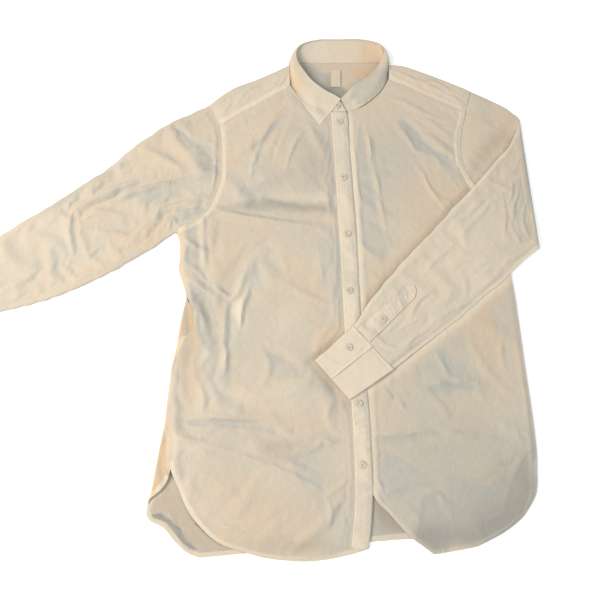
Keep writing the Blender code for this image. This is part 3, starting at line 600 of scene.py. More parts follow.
floorLook = Finish("pale_floor", {"Roughness": 0.9, "Emission Color": (1, 1, 1, 1), "Emission Strength": 0.25})
floorCloud = floorLook.noise(floorLook.node("ShaderNodeTexCoord", output=3), 3.0)
floorLook.shade("Base Color", floorLook.blend(floorCloud, (0.96, 0.96, 0.96, 1), (0.98, 0.98, 0.98, 1)))
floorMesh = bmesh.new()
bmesh.ops.create_grid(floorMesh, x_segments=8, y_segments=8, size=3.0)
bmesh.ops.translate(floorMesh, verts=floorMesh.verts, vec=(0, 0, -0.0002))
floorData = bpy.data.meshes.new("floor")
floorMesh.to_mesh(floorData)
floorMesh.free()
floorData.materials.append(floorLook.material)
floor = bpy.data.objects.new("floor", floorData)
bpy.context.scene.collection.objects.link(floor)
print("camera, lights and floor are in place")

# shared lines of the cut
rightArmhole = (
    (-14, 302), (-7.5, 291), (-1.5, 280), (5, 268), (9, 243), (10, 212),
    (9, 176), (-3, 137), (-17, 116), (-40, 102), (-58, 92),
)
leftArmhole = (
    (426, 327), (420.5, 312), (414.5, 294), (410, 274), (406, 258), (404, 236),
    (404.5, 212), (409, 196), (415, 183), (426, 164), (443, 141), (455, 128),
)

# rows: left edge x y, right edge x y, lift of the left edge, lift of the middle; yoke seam to hem
# folds: the solid's own large folds, from x y to x y, width and height
# creases: width on the left and right of the path, height, path
rightFront = {
    "rows": (
        (5, 268, 122, 338, 3.2, 3.6), (9, 243, 141, 314, 2.4, 3.0), (10, 212, 176, 294, 2.2, 3.0),
        (9, 176, 215, 290, 2.4, 3.0), (-3, 137, 219, 243, 3.0, 3.5), (-17, 116, 222, 200, 4.0, 4.0),
        (-40, 102, 224, 178, 5.0, 4.5), (-57, 92, 225, 158, 4.0, 4.5), (-49, 74, 227, 132, 6.5, 4.5),
        (-47, 51, 229, 99, 7.5, 4.5), (-48, 24, 231, 63, 7.5, 4.0), (-38, -6, 233, -8, 8.0, 4.0),
        (-34, -32, 235, -40, 8.6, 4.0), (-35, -61, 237, -72, 8.6, 4.0), (-48, -95, 240, -103, 8.6, 3.5),
        (-59, -135, 243, -143, 8.6, 3.0), (-64, -181, 245, -184, 8.4, 3.0),
        (-66, -214, 247, -220, 8.4, 3.0), (-61, -243, 249, -250, 8.6, 3.0),
        (-60, -282, 250, -280, 8.0, 2.8), (-49, -312, 250, -310, 3.5, 2.6),
        (-33, -347, 249, -337, 2.4, 2.4), (-11, -374, 248, -359, 2.0, 2.2), (15, -395, 246, -377, 1.8, 2.0),
        (48, -407, 244, -391, 1.8, 2.0), (84, -417, 242, -404, 1.8, 1.8),
    ),
    "sag": 10.5, "down": 270, "across": 112,
    "crumple": ((62, 2.6, 3, 0.5, 1.3), (27, 0.9, 4, 0.9, 1.2), (13, 0.25, 5)),
    "armholeBand": {"width": 9.0, "rise": 0.45, "seed": 40, "pucker": 0.75},
    "hemBand": {"width": 6.5, "rise": 0.4, "seed": 44, "pucker": 0.3},
    "settle": {"growth": 0.005, "bend": 14.0},
    "folds": (
        (24, 118, 150, 140, 16, 4.5), (30, 150, 150, 205, 18, 4.0), (26, 200, 96, 276, 14, 3.0),
        (-4, 112, -8, 40, 14, 6.0), (-44, 14, 12, -26, 13, 5.5), (-24, -18, -12, -110, 14, 6.0),
        (40, 0, 40, -86, 13, 5.0), (24, -66, 14, -166, 15, 5.0), (-30, -188, 124, -206, 14, 4.5),
        (-40, -232, 70, -262, 14, 3.0), (70, 36, 190, -60, 18, 3.5), (80, -92, 196, -132, 16, 3.5),
        (30, -186, 150, -166, 16, 3.0), (10, -322, 180, -352, 22, 2.5), (60, 110, 96, -10, 16, 3.0),
        (-34, 84, -30, 20, 12, 5.0),
    ),
    "creases": (
        (16, 30, -5, (-4, 130), (57, 130), (139, 112), (201, 108)),
        (8, 22, 4.6, (-1, 122), (66, 112), (139, 98), (188, 97)),
        (14, 22, 3, (-1, 140), (57, 164), (139, 195)), (22, 14, -2.2, (11, 174), (76, 200), (147, 225)),
        (12, 18, 2.6, (21, 191), (60, 242), (102, 291)),
        (5, 9, 1.6, (112, 300), (88, 262), (66, 214), (58, 176)),
        (4, 8, -1.4, (128, 292), (104, 246), (92, 196)), (5, 8, 1.5, (150, 262), (128, 232), (116, 190)),
        (10, 14, -2, (40, 200), (89, 251), (126, 298)), (16, 16, 2, (139, 305), (175, 225), (214, 178)),
        (8, 12, 2.2, (69, 123), (123, 112), (180, 107)), (8, 12, 4, (-16, 112), (-18, 74), (-11, 28)),
        (8, 10, -3, (-30, 99), (-23, 57), (-23, 17)), (7, 9, 2.6, (-49, 81), (-29, 62), (-3, 54)),
        (6, 9, 2, (-45, 38), (-22, 21), (-2, -1)), (5, 8, 2.2, (-2, 4), (27, -19), (45, -14)),
        (12, 14, 3.6, (-40, -8), (-14, -49), (-3, -95), (-18, -138)),
        (12, 12, -2.4, (-11, -11), (12, -72), (10, -119), (-8, -169)),
        (6, 9, 3.2, (58, 2), (48, -40), (43, -72)), (8, 10, -1.6, (30, -24), (28, -80), (22, -107)),
        (5, 8, 3, (15, -88), (25, -107), (19, -143)), (9, 12, 3.6, (58, 38), (40, -8), (21, -43)),
        (10, 10, 3.2, (-24, -147), (-10, -178), (-15, -204)),
        (7, 9, -2.6, (4, -150), (17, -169), (45, -174)), (14, 16, 2.4, (32, -153), (70, -175), (114, -198)),
        (8, 12, 2.6, (123, 8), (139, -11), (182, -29)),
        (14, 14, -2.2, (79, -103), (114, -113), (139, -138)),
        (12, 16, 2.4, (69, -95), (92, -122), (79, -169)),
        (8, 16, -3.8, (-42, -213), (30, -218), (89, -221), (123, -242)),
        (10, 8, 3.6, (-42, -203), (30, -207), (95, -210)),
        (5, 9, 2.8, (-54, -235), (-38, -239), (-21, -244), (-8, -239)),
        (5, 10, 2.4, (-24, -244), (46, -265), (139, -298), (179, -325)),
        (6, 8, 2.6, (127, -261), (139, -255), (164, -253), (173, -239)),
        (5, 7, 2.2, (173, -239), (186, -245), (201, -242)),
        (7, 9, -2, (117, -267), (139, -276), (167, -288)), (6, 9, 2, (179, -325), (188, -347), (182, -376)),
        (6, 9, 1.8, (179, -325), (197, -312), (210, -300)), (5, 7, 2, (12, -362), (35, -373), (63, -378)),
        (12, 14, 1.8, (-15, -288), (35, -323), (81, -368)),
        (7, 8, 1.8, (195, -181), (180, -200), (186, -227)),
    ),
}

leftFront = {
    "rows": (
        (288, 350, 414, 291, 3.4, 3.6), (273, 325, 410, 272, 2.0, 3.0), (249, 304, 406, 258, 1.8, 3.0),
        (222, 290, 404, 236, 1.8, 3.0), (196, 284, 404, 214, 1.8, 3.0), (196, 258, 409, 196, 1.8, 3.0),
        (198, 226, 415, 183, 1.8, 3.0), (200, 183, 426, 164, 1.8, 2.8), (202, 141, 443, 141, 1.8, 2.6),
        (204, 99, 460, 107, 1.8, 2.4), (205, 63, 469, 66, 1.8, 2.4), (207, -8, 481, 1, 1.8, 2.4),
        (210, -72, 488, -64, 1.8, 2.6), (215, -127, 494, -127, 1.8, 3.0), (219, -184, 500, -184, 1.8, 3.0),
        (222, -227, 504, -227, 1.8, 3.0), (229, -265, 506, -264, 1.8, 3.0), (241, -300, 505, -291, 1.8, 3.0),
        (256, -333, 504, -312, 1.8, 2.6), (274, -351, 500, -327, 1.8, 2.4), (290, -369, 490, -344, 1.8, 2.2),
        (308, -387, 477, -360, 1.8, 2.0), (326, -400, 450, -380, 1.8, 1.8), (342, -412, 410, -400, 1.8, 1.8),
    ),
    "down": 270, "across": 104,
    "crumple": ((70, 2.4, 13, -0.5, 1.3), (30, 0.8, 14, -0.8, 1.2), (14, 0.25, 15)),
    "armholeBand": {"width": 9.0, "rise": 0.45, "seed": 60, "pucker": 0.5},
    "hemBand": {"width": 6.5, "rise": 0.4, "seed": 64, "pucker": 0.3},
    "settle": {"growth": 0.003, "bend": 14.0},
    "folds": (
        (300, 282, 322, 226, 14, 3.0), (330, 262, 400, 204, 16, 4.0), (262, 240, 290, 90, 18, 3.0),
        (262, 40, 286, -10, 14, 2.5), (320, -200, 430, -190, 18, 3.5), (286, -260, 372, -350, 20, 3.0),
        (350, -160, 480, -138, 18, 3.5), (410, -50, 478, -90, 16, 3.0), (400, -250, 486, -300, 18, 3.0),
        (450, -150, 470, -260, 16, 3.0),
    ),
    "creases": (
        (16, 26, -2.8, (296, 295), (346, 239), (405, 184)),
        (12, 14, 2.8, (306, 316), (355, 274), (403, 229)),
        (7, 9, 2.2, (247, 274), (258, 208), (269, 132), (284, 62)),
        (5, 8, 2.2, (340, 191), (349, 166), (367, 137), (380, 124)),
        (5, 7, 1.8, (361, 149), (387, 132), (403, 130)),
        (6, 9, 2.2, (241, 57), (262, 46), (274, 38)),
        (5, 8, 2.2, (253, 21), (267, 2), (273, -11)),
        (8, 12, -2.6, (335, -156), (374, -161), (418, -156)),
        (5, 9, 3.2, (332, -150), (368, -155), (403, -149), (422, -156)),
        (8, 10, 2.6, (281, -138), (321, -163), (353, -181), (376, -220)),
        (7, 9, 2.4, (251, -236), (294, -229), (333, -229), (353, -232)),
        (10, 14, -2.6, (251, -245), (294, -242), (350, -239)),
        (5, 9, 2.8, (357, -226), (385, -232), (415, -239)),
        (5, 7, 2.2, (354, -107), (366, -128), (376, -146)),
        (6, 10, 2.2, (265, -158), (289, -178), (308, -200)),
        (8, 10, -2, (271, -150), (286, -175), (295, -197)),
        (6, 9, 1.8, (253, -300), (268, -314), (290, -314), (305, -310)),
        (8, 12, 2, (331, -320), (354, -326), (371, -362)),
        (14, 18, -2, (400, -317), (447, -288), (489, -258)),
        (8, 10, 2, (376, -220), (415, -236), (449, -242)),
        (12, 14, 2.2, (408, -88), (435, -138), (468, -169)),
        (6, 9, 1.8, (465, -72), (455, -107), (463, -138)),
        (8, 10, 1.8, (469, -212), (480, -242), (502, -255)),
        (12, 16, 1.8, (292, -332), (322, -362), (339, -400)),
    ),
}

# rows: left edge x y, right edge x y, how far the left side has curled over
backPanel = {
    "rows": (
        (7.5, 262, 403, 262, 0), (10.5, 228, 402, 226, 0), (10.5, 180, 406, 182, 0),
        (-1.5, 137, 426, 152, 0), (-15.5, 114, 440, 134, 0), (-39, 99.5, 447, 120, 0),
        (-57, 90, 452, 111, 0), (-53, 72, 462, 80, 0), (-52, 51, 466, 60, 0), (-53, 27, 473, 17, 0),
        (-40, -6, 478, -16, 0), (-46, -38, 482, -48, 1), (-51, -65, 485, -70, 1), (-55, -95, 488, -95, 1),
        (-63, -135, 491, -135, 1), (-68, -181, 495, -181, 1), (-71, -214, 498, -214, 1),
        (-76, -243, 501, -243, 1), (-82, -278, 502, -270, 1), (-85, -296, 502, -285, 0.8),
        (-88, -314, 500, -300, 0.5), (-93.5, -334, 498, -315, 0.1), (-96.5, -352, 492, -333, 0),
        (-89, -364, 481, -349, 0), (-69, -374, 460, -363, 0), (-51, -394, 429, -376, 0),
        (-32, -410, 383, -385, 0), (-13, -417, 307, -388, 0),
    ),
    "down": 250, "flat": 116, "curled": 34, "roll": 3.9, "seamGap": -1.5, "approach": 14.0,
    "crumple": ((34, 0.5, 71), (15, 0.25, 72)),
    "hemBand": {"width": 6.5, "rise": 0.35, "seed": 74, "pucker": 0.2},
}

# columns: shoulder top x y, front seam x y, whether it comes over to the front
yokePiece = {
    "columns": (
        (-11.5, 303, 6.5, 270, 1), (27, 331, 39, 290, 1), (64, 346, 69, 307, 1), (93, 359, 97, 324, 1),
        (120, 372, 121, 339, 1), (134, 376, 134, 376, 0), (168, 377, 168, 377, 0), (206, 377, 206, 377, 0),
        (244, 377, 244, 377, 0), (275, 376, 275, 376, 0), (289, 373, 289, 351, 1), (312, 371, 315, 339, 1),
        (349, 358, 350, 322, 1), (386, 343, 383, 307, 1), (423, 327, 413, 293, 1),
    ),
    "backSeam": 263.0, "roll": 2.3, "neckReach": 5.4, "seed": 81,
    "across": 176, "backRows": 22, "rollRows": 10, "frontRows": 34,
}

# shoulder edge x y, underarm edge x y, height of the middle, half thickness, turn about the arm
sleeveTables = {
    "right": (
        (-44, 287, -73, 80, 2.4, 2.4, 0), (-72, 275, -92, 66, 3.0, 3.0, 0),
        (-131, 234, -136, 38, 3.0, 3.0, 0), (-179, 192, -170, 19, 3.0, 3.0, 0),
        (-219, 165, -206, 1, 3.0, 3.0, 0), (-251, 143, -243, -15, 3.0, 3.0, 0),
        (-340, 86, -308, -36, 2.8, 2.8, 0), (-438, 24, -388, -51, 2.4, 2.4, 0),
    ),
    "left": (
        (468, 306, 490, 91, 2.2, 2.2, 0), (497, 286, 519, 61, 2.4, 2.4, 0),
        (500, 282, 522, 60, 3.3, 2.4, 45), (501, 275, 523, 59, 5.5, 2.4, 90),
        (499, 264, 522, 58, 7.7, 2.4, 135), (496, 256, 519, 57, 8.6, 2.4, 180),
        (479, 225, 510, 48, 8.4, 2.4, 180), (457, 202, 491, 33, 8.0, 2.4, 180),
        (423, 163, 466, 8, 7.2, 2.4, 180), (380, 118, 425, -24, 7.0, 2.4, 180),
        (353, 88, 396, -50, 7.0, 2.4, 180), (298, 31, 355, -81, 7.4, 2.4, 180),
        (252, -24, 315, -111, 10.6, 2.4, 180), (223.5, -66.5, 285, -133.5, 12.8, 2.2, 180),
    ),
}
rightCuff = ((-438.3, 23.8, -388.3, -51.2, 2.9, 2.9, 0), (-507, -20, -459, -91, 2.9, 2.9, 0))
leftCuff = {
    "rows": ((223.2, -66.8, 284.7, -133.8, 10.6), (163, -120, 216, -180, 9.0)),
    "lap": 0.47, "tuck": 0.27, "lowerTop": 2.2, "upperTop": 4.2,
}
placketLine = (
    (189.5, 288), (192, 262), (204, 63), (207, -8), (210, -72),
    (219, -184), (222, -243), (224, -306), (222, -355), (216.5, -401),
)
placketWidth = 27.0


def placketEdge(y):
    edge = evenly(placketLine, 60)
    return np.interp(-y, -edge[:, 1], edge[:, 0])


def foldHeights(x, y, folds):   # the solids' large folds
    height = np.zeros_like(x)
    for x1, y1, x2, y2, width, rise in folds:
        length = math.hypot(x2 - x1, y2 - y1)
        along = ((x - x1) * (x2 - x1) + (y - y1) * (y2 - y1)) / length**2
        away = ((x - x1) * (y2 - y1) - (y - y1) * (x2 - x1)) / length
        taper = np.clip(1 - (2 * along - 1) ** 2, 0, 1)
        height += rise * taper * np.clip(1 - (away / width) ** 2, 0, 1) ** 2
    return height


def beyondForearm(x, y):        # distance from the folded forearm, which presses on the fronts
    rows = [row for row in sleeveTables["left"] if row[6] == 180] + [row + (0, 180) for row in leftCuff["rows"]]
    end = np.array((rows[-1][0] + rows[-1][2], rows[-1][1] + rows[-1][3])) / 2
    start = np.array((rows[0][0] + rows[0][2], rows[0][1] + rows[0][3])) / 2
    axis = (start - end) / np.linalg.norm(start - end)
    side = np.array((-axis[1], axis[0]))

    def measure(px, py):
        along = (px - end[0]) * axis[0] + (py - end[1]) * axis[1]
        return along, (px - end[0]) * side[0] + (py - end[1]) * side[1]

    upper = sorted(measure(row[0], row[1]) for row in rows)
    lower = sorted(measure(row[2], row[3]) for row in rows)
    along, aside = measure(x, y)
    top = np.interp(along, [p[0] for p in upper], [p[1] for p in upper])
    bottom = np.interp(along, [p[0] for p in lower], [p[1] for p in lower])
    return np.maximum(np.maximum(aside - top, bottom - aside), -along - 4)


def panelPlan(panel):
    rows, columns = panel["down"] + 1, panel["across"] + 1
    table = evenly([row[:4] for row in panel["rows"]], rows - 1)
    share = np.linspace(0, 1, columns)
    low = ramp(np.linspace(0, 1, rows), 0.86, 1)[:, None]
    x = table[:, 0:1] + (table[:, 2:3] - table[:, 0:1]) * share
    y = table[:, 1:2] + (table[:, 3:4] - table[:, 1:2]) * share
    y = y - panel.get("sag", 0) * low * np.sin(math.pi * share)
    return x, y


def sideCurve(y):               # here the side seam lies farther in
    return 4.5 * np.exp(-(((y + 62) / 24) ** 2))


def seamBand(x, y, line, width, rise, seed, pucker=0.25):
    # a doubled strip along a line, stitched at its inner side and puckered by the stitching
    away, along = lineDistance(x, y, line)
    inside = ramp(away, width + 1.2, width - 0.6)
    ripple = np.sin(along / 7.5 * math.tau + 2.2 * wander(x, y, 30, seed))
    ripple = ripple * (0.5 + 0.5 * wander(x, y, 24, seed + 1))
    puckered = pucker * ripple * ramp(away, 0, width * 0.5)
    return inside * (rise + puckered) - groove(away, width, 1.0, 0.35), inside


def paintedPatchesOf(x, y, patches):
    # painted patches: 1.5 is amber, 1 is peach, 0 is grey-green, -1 is the shade deep inside; peach and amber
    # stand for painted light, grey-green and the deep shade for painted shade
    total = np.full_like(x, 0.5)
    x = x + facets(x, y, 30, 11, 161)
    y = y + facets(x, y, 34, 11, 162)
    for px, py, sizeX, sizeY, tone in patches:
        total += 0.5 * tone * np.exp(-(((x - px) / sizeX) ** 2 + ((y - py) / sizeY) ** 2))
    return total


def lightOf(x, y, patches):     # painted light: above 0 is lighter, below 0 is dimmer painted shade
    return 2 * paintedPatchesOf(x, y, patches) - 1


def facesOf(x, y, faces):
    # faces between creases: their tone, painted light where above 0 and painted shade where below 0, and how
    # far they lie above or below the rest
    x = x + wander(x, y, 26, 163) * 1.3
    y = y + wander(x, y, 23, 164) * 1.3
    blur = 1.5 + 3.5 * ramp(wander(x, y, 55, 166), -0.2, 0.7)
    ridge = 0.5 * wander(x, y, 40, 165)
    tone = np.zeros_like(x)
    rise = np.zeros_like(x)
    for value, *corners in faces:
        outline = [*corners, corners[0]]
        away, _ = lineDistance(x, y, outline)
        inside = np.zeros(x.shape, bool)
        for (x1, y1), (x2, y2) in zip(outline[:-1], outline[1:]):
            if y1 != y2:
                inside ^= ((y1 > y) != (y2 > y)) & (x < x1 + (y - y1) * (x2 - x1) / (y2 - y1))
        beyond = np.where(inside, -away, away)
        tone += 0.5 * value * ramp(beyond, blur, -1.3 * blur)
        rise += 0.9 * max(value, -1.6) * ramp(beyond, 2.0, -5.0) + ridge * np.exp(-((beyond / 1.8) ** 2))
    return tone, rise


def lean(x, y, height):         # how far the cloth leans towards the main light
    normal = normalsOf(np.dstack((x, y, height)))
    normal *= np.sign(normal[:, :, 2:])
    toward = np.array(studio["key"][:2]) / math.hypot(*studio["key"][:2])
    return np.clip(soften(normal[:, :, :2] @ toward, 2), -0.35, 0.35)


# right front


def makeRightFront():
    x, y = panelPlan(rightFront)
    table = evenly(rightFront["rows"], rightFront["down"])
    top = np.linspace(0, 1, len(table))[:, None]
    fromLeft = x - x[:, :1]
    cover = ramp(y[:, :1], -50, -26) * ramp(y[:, :1], 96, 84)      # here the front wraps round the side
    x = x + (sideCurve(y[:, :1]) - cover * 8.0) * ramp(fromLeft, 30, 0)
    fromLeft = x - x[:, :1]
    fromPlacket = placketEdge(y) - x
    fromEnd = x[:, -1:] - x
    apart = beyondForearm(x, y)
    free = ramp(fromLeft, 2, 24) * ramp(fromPlacket, 6, 34) * ramp(apart, 3, 26)
    free = free * ramp(top, 0.03, 0.14) * ramp(1 - top, 0.0, 0.09)
    base = table[:, 5:6] + (table[:, 4:5] - table[:, 5:6]) * (1 - ramp(fromLeft, 4, 46))
    base = frontLevel + (base - frontLevel) * ramp(apart, 1, 24)
    height = base + foldHeights(x, y, rightFront["folds"]) * free * 0.4
    loose = ramp(fromLeft, 0, 12) * ramp(fromPlacket, 1, 14) * ramp(apart, 0, 14) * ramp(top, 0, 0.02)
    creased = creaseHeights(x, y, rightFront["creases"], 1.15, 0.62) * loose
    height += creased
    tone, rise = facesOf(x, y, rightFrontFaces)
    height += (1.4 + rise) * loose
    calm = 0.55 + 0.45 * ramp(wander(x, y, 210, 31), -0.5, 0.7)
    crumple = crumpled(x, y, rightFront["crumple"])
    height += crumple * calm * (0.25 + 0.75 * loose) * ramp(fromPlacket, -4, 10)
    lap = 1 - ramp(np.minimum(fromPlacket, fromEnd), 3, 32)
    height = keepAbove(height, frontLevel - 0.1)
    height = height * (1 - lap) + lapLevel * lap + clothLayer["thick"] - 0.7 * ramp(fromEnd, 9, 1)
    edges = np.minimum(np.minimum(fromLeft, fromEnd), np.minimum(apart, fromPlacket))
    ends = np.minimum(np.hypot(x - x[:1], y - y[:1]), np.hypot(x - x[-1:], y - y[-1:]))
    held = 1 - ramp(edges, 1, 9) * ramp(ends, 1, 9)
    under = frontLevel + clothLayer["thick"] + (lapLevel - frontLevel - 0.7 * ramp(fromEnd, 9, 1)) * lap
    settled = settle(np.dstack((x, y, height)), held, under, **rightFront["settle"])
    x, y, height = np.moveaxis(settled, 2, 0)
    height += 0.45 * creased + 0.4 * rise * loose - cover * 7.0 * ramp(fromLeft, 9, -2)
    # painted light and shade on the right front
    layers = lightOf(x, y, rightFrontLight)
    left = edgeOf(x, y, 0)
    band, inside = seamBand(x, y, left[left[:, 1] > 94], **rightFront["armholeBand"])
    height += band
    layers += (0.6 - layers) * inside
    hemEdge = np.concatenate((left[left[:, 1] < -276], rowOf(x, y, -1)))
    band, inside = seamBand(x, y, hemEdge, **rightFront["hemBand"])
    height += band
    layers += (0.55 + 0.4 * ramp(x, 40, 0) - layers) * inside
    height = soften(height, 1)
    # painted light and shade: warmer where the cloth leans towards the key light, and the tone tables and faces
    warmthAndPaintedLight = paintedPatchesOf(x, y, rightFrontTones) + tone + lean(x, y, height) + 0.10 * np.clip(crumple / 2.2, -2, 2)
    # painted shadow: warm brown shade beside the cuff and the folded forearm
    warmthAndPaintedLight += 0.5 * ramp(apart, 16, 2)
    warmthAndPaintedLight = np.clip(warmthAndPaintedLight, -0.3, 1.1)
    return x, y, height, layers, warmthAndPaintedLight


# x, y, size across, size down, and tone: above 0 peach, below 0 grey; painted warm light and grey shade
rightFrontTones = (
    (139, 199, 64, 48, 0.45), (124, -354, 72, 40, 0.45), (17, -173, 19, 32, -0.9), (65, 0, 13, 32, -0.5),
    (-28, 110, 13, 13, -0.7), (93, -257, 19, 16, -0.3), (-26, 50, 12, 50, -0.5), (58, -150, 40, 16, 0.4),
    (100, -350, 90, 30, 0.35), (110, 60, 50, 26, 0.2), (160, -14, 36, 40, 0.3), (192, 60, 18, 60, -0.3),
    (26, 196, 12, 50, 0.4), (92, 262, 22, 30, 0.25), (-36, -60, 8, 40, 0.8), (-44, -200, 10, 20, 0.4),
    (-30, -290, 30, 40, -0.12), (208, -100, 26, 34, 0.4), (20, -300, 40, 40, 0.2),
    (186, -160, 26, 30, -0.3), (130, 190, 70, 50, -0.2), (-38, -53, 10, 48, 0.8), (36, -391, 48, 22, 0.6),
    (133, -398, 48, 16, 0.7), (139, -72, 22, 32, 0.3), (21, -11, 13, 22, -0.5), (220, 132, 16, 96, 0.3),
    (-42, -64, 10, 35, 0.8), (48, -64, 16, 26, -0.4), (-52, -150, 8, 32, -0.4), (-22, 49, 13, 22, -0.3),
    (47, -302, 64, 26, 0.25), (2, -391, 22, 16, 0.4), (59, 0, 13, 32, -0.4), (39, -72, 13, 32, -0.4),
    (-30, 61, 13, 22, -0.4), (10, 82, 19, 16, -0.3),
)
leftFrontTones = (
    (391, -111, 22, 29, 0.4), (386, 225, 35, 35, -0.4), (387, -376, 32, 22, -0.7), (262, 150, 24, 90, -0.5),
    (350, 130, 40, 40, 0.2), (420, -330, 90, 40, -0.85), (424, -30, 34, 50, 0.4), (290, -170, 34, 40, 0.3),
    (286, -300, 40, 40, -0.35), (400, -150, 60, 30, -0.4), (466, -110, 30, 50, 0.3),
    (232, 60, 14, 50, -0.5), (398, 160, 26, 30, 0.3), (440, -220, 50, 40, -0.3), (330, -110, 60, 40, -0.2),
    (336, 326, 42, 26, 0.5), (391, 280, 26, 29, 0.5), (386, 127, 16, 22, 0.7), (349, 82, 19, 22, 0.6),
    (300, 28, 19, 19, 0.3),
)
# the same with painted light: above 0 lighter, below 0 dimmer painted shade
rightFrontLight = (
    (43, -34, 11, 29, 0.8), (53, -5, 10, 13, 0.3), (22, -116, 11, 22, 0.5), (92, -170, 96, 14, 0.35),
    (-6, -95, 13, 22, 0.1), (-40, -265, 14, 35, 0.7), (172, 199, 38, 64, -0.35), (14, 25, 16, 54, -0.2),
    (115, 124, 96, 9, -0.35), (108, -262, 26, 14, -0.35), (183, -147, 13, 32, -0.1),
    (209, -184, 16, 10, -0.35), (139, -399, 88, 13, -0.3), (132, 320, 19, 22, 0.2), (115, -59, 35, 38, 0.3),
    (-28, 28, 11, 22, 0.5), (-37, 74, 10, 19, 0.3), (70, 0, 8, 26, 0.3), (-38, -53, 10, 48, -0.6),
    (-37, -260, 22, 19, 0.3), (14, -11, 11, 22, -0.25), (213, 87, 13, 64, 0.1), (-7, 74, 10, 29, -0.2),
    (77, 127, 64, 8, -0.15), (0, 61, 14, 26, 0.35), (139, 118, 64, 6, -0.3), (139, 140, 58, 6, 0.25),
    (100, -244, 58, 10, -0.3), (35, -22, 8, 16, -0.3), (48, -56, 10, 22, 0.5), (28, -80, 10, 13, 0.3),
    (9, -95, 10, 13, -0.2), (-10, -175, 19, 13, 0.3), (-52, -150, 8, 38, 0.25), (-14, 20, 13, 13, 0.25),
    (-42, -80, 8, 29, -0.2), (178, -160, 19, 16, -0.2), (77, 125, 38, 8, -0.2), (139, 138, 70, 10, 0.2),
    (37, -8, 8, 22, -0.3), (54, -27, 6, 22, 0.25), (-7, -75, 10, 22, 0.25), (92, -190, 96, 10, 0.2),
    (-40, -227, 13, 10, -0.2), (-20, -138, 8, 22, -0.2), (167, -160, 19, 19, -0.12), (20, -95, 6, 26, 0.2),
)
leftFrontLight = (
    (456, -361, 54, 38, -0.55), (382, -386, 64, 22, -0.5), (327, -388, 26, 19, -0.4),
    (490, -302, 19, 58, -0.25), (355, -287, 112, 160, -0.15), (304, 225, 64, 64, -0.08),
    (301, -295, 42, 35, 0.12), (409, 298, 13, 19, 0.5), (332, -257, 64, 16, -0.1),
    (456, -356, 35, 32, -0.06), (483, -310, 22, 35, -0.22), (321, -398, 22, 13, -0.1),
    (404, 174, 11, 14, -0.25), (411, -347, 48, 32, -0.04), (447, -296, 26, 26, -0.2),
    (447, -287, 19, 26, -0.12),
)
# painted tone, light above 0 and shade below 0, and the corners of a face between creases
rightFrontFaces = (
    (
        -0.35, (56, 256), (106, 274), (156, 265), (189, 248), (192, 196), (200, 157), (196, 124),
        (139, 124), (82, 137), (33, 140), (49, 166), (68, 200),
    ),
    (0.5, (-12, 120), (74, 114), (107, 82), (53, 66), (14, 0), (-6, 41)),
    (
        -1.2, (-56, 120), (-24, 107), (-31, 82), (-27, 46), (-7, 13), (-10, -8), (-38, 25), (-47, 49),
        (-39, 74),
    ),
    (-1.2, (-46, 13), (-13, -11), (4, -72), (15, -80), (8, -103), (-10, -105), (-25, -59)),
    (
        -0.55, (22, -24), (51, -24), (44, -56), (36, -83), (24, -119), (21, -146), (-9, -197), (-14, -181),
        (-2, -153), (12, -103), (20, -75),
    ),
    (
        1.0, (-43, -24), (-25, -43), (-15, -95), (-25, -127), (-18, -174), (-33, -189), (-47, -181),
        (-50, -135), (-45, -95),
    ),
    (
        -0.5, (-40, -212), (-9, -207), (56, -212), (108, -220), (100, -235), (57, -227), (7, -221),
        (-32, -221),
    ),
    (
        -0.5, (-55, -235), (-32, -242), (7, -258), (57, -273), (124, -295), (142, -317), (108, -298),
        (54, -282), (7, -265), (-36, -250),
    ),
    (
        -0.5, (124, -273), (162, -258), (170, -280), (177, -317), (196, -325), (218, -362), (215, -398),
        (185, -391), (162, -332), (139, -303),
    ),
    (-0.45, (108, -227), (162, -220), (209, -242), (185, -253), (139, -258), (124, -265)),
    (
        -0.5, (87, -111), (107, -107), (131, -119), (158, -138), (147, -150), (123, -146), (108, -153),
        (92, -143),
    ),
    (0.7, (163, -64), (187, -64), (202, -95), (171, -114), (158, -103)),
    (0.5, (37, -143), (84, -174), (139, -189), (108, -200), (56, -197), (32, -166)),
    (0.6, (131, -215), (162, -212), (158, -253), (127, -253)),
    (0.35, (11, 191), (40, 217), (73, 256), (117, 317), (131, 312), (89, 256), (49, 196)),
    (-0.35, (56, 239), (81, 268), (106, 295), (117, 286), (89, 239), (65, 213)),
    (-0.3, (163, 107), (204, 74), (203, -32), (187, -40), (171, 33)),
    (0.45, (107, 74), (139, 49), (187, -16), (163, -32), (123, 17), (99, 49)),
    (-0.3, (69, 74), (107, 57), (115, 21), (78, -16), (62, 8)),
    (-0.3, (14, -365), (40, -359), (66, -376), (36, -385)),
)
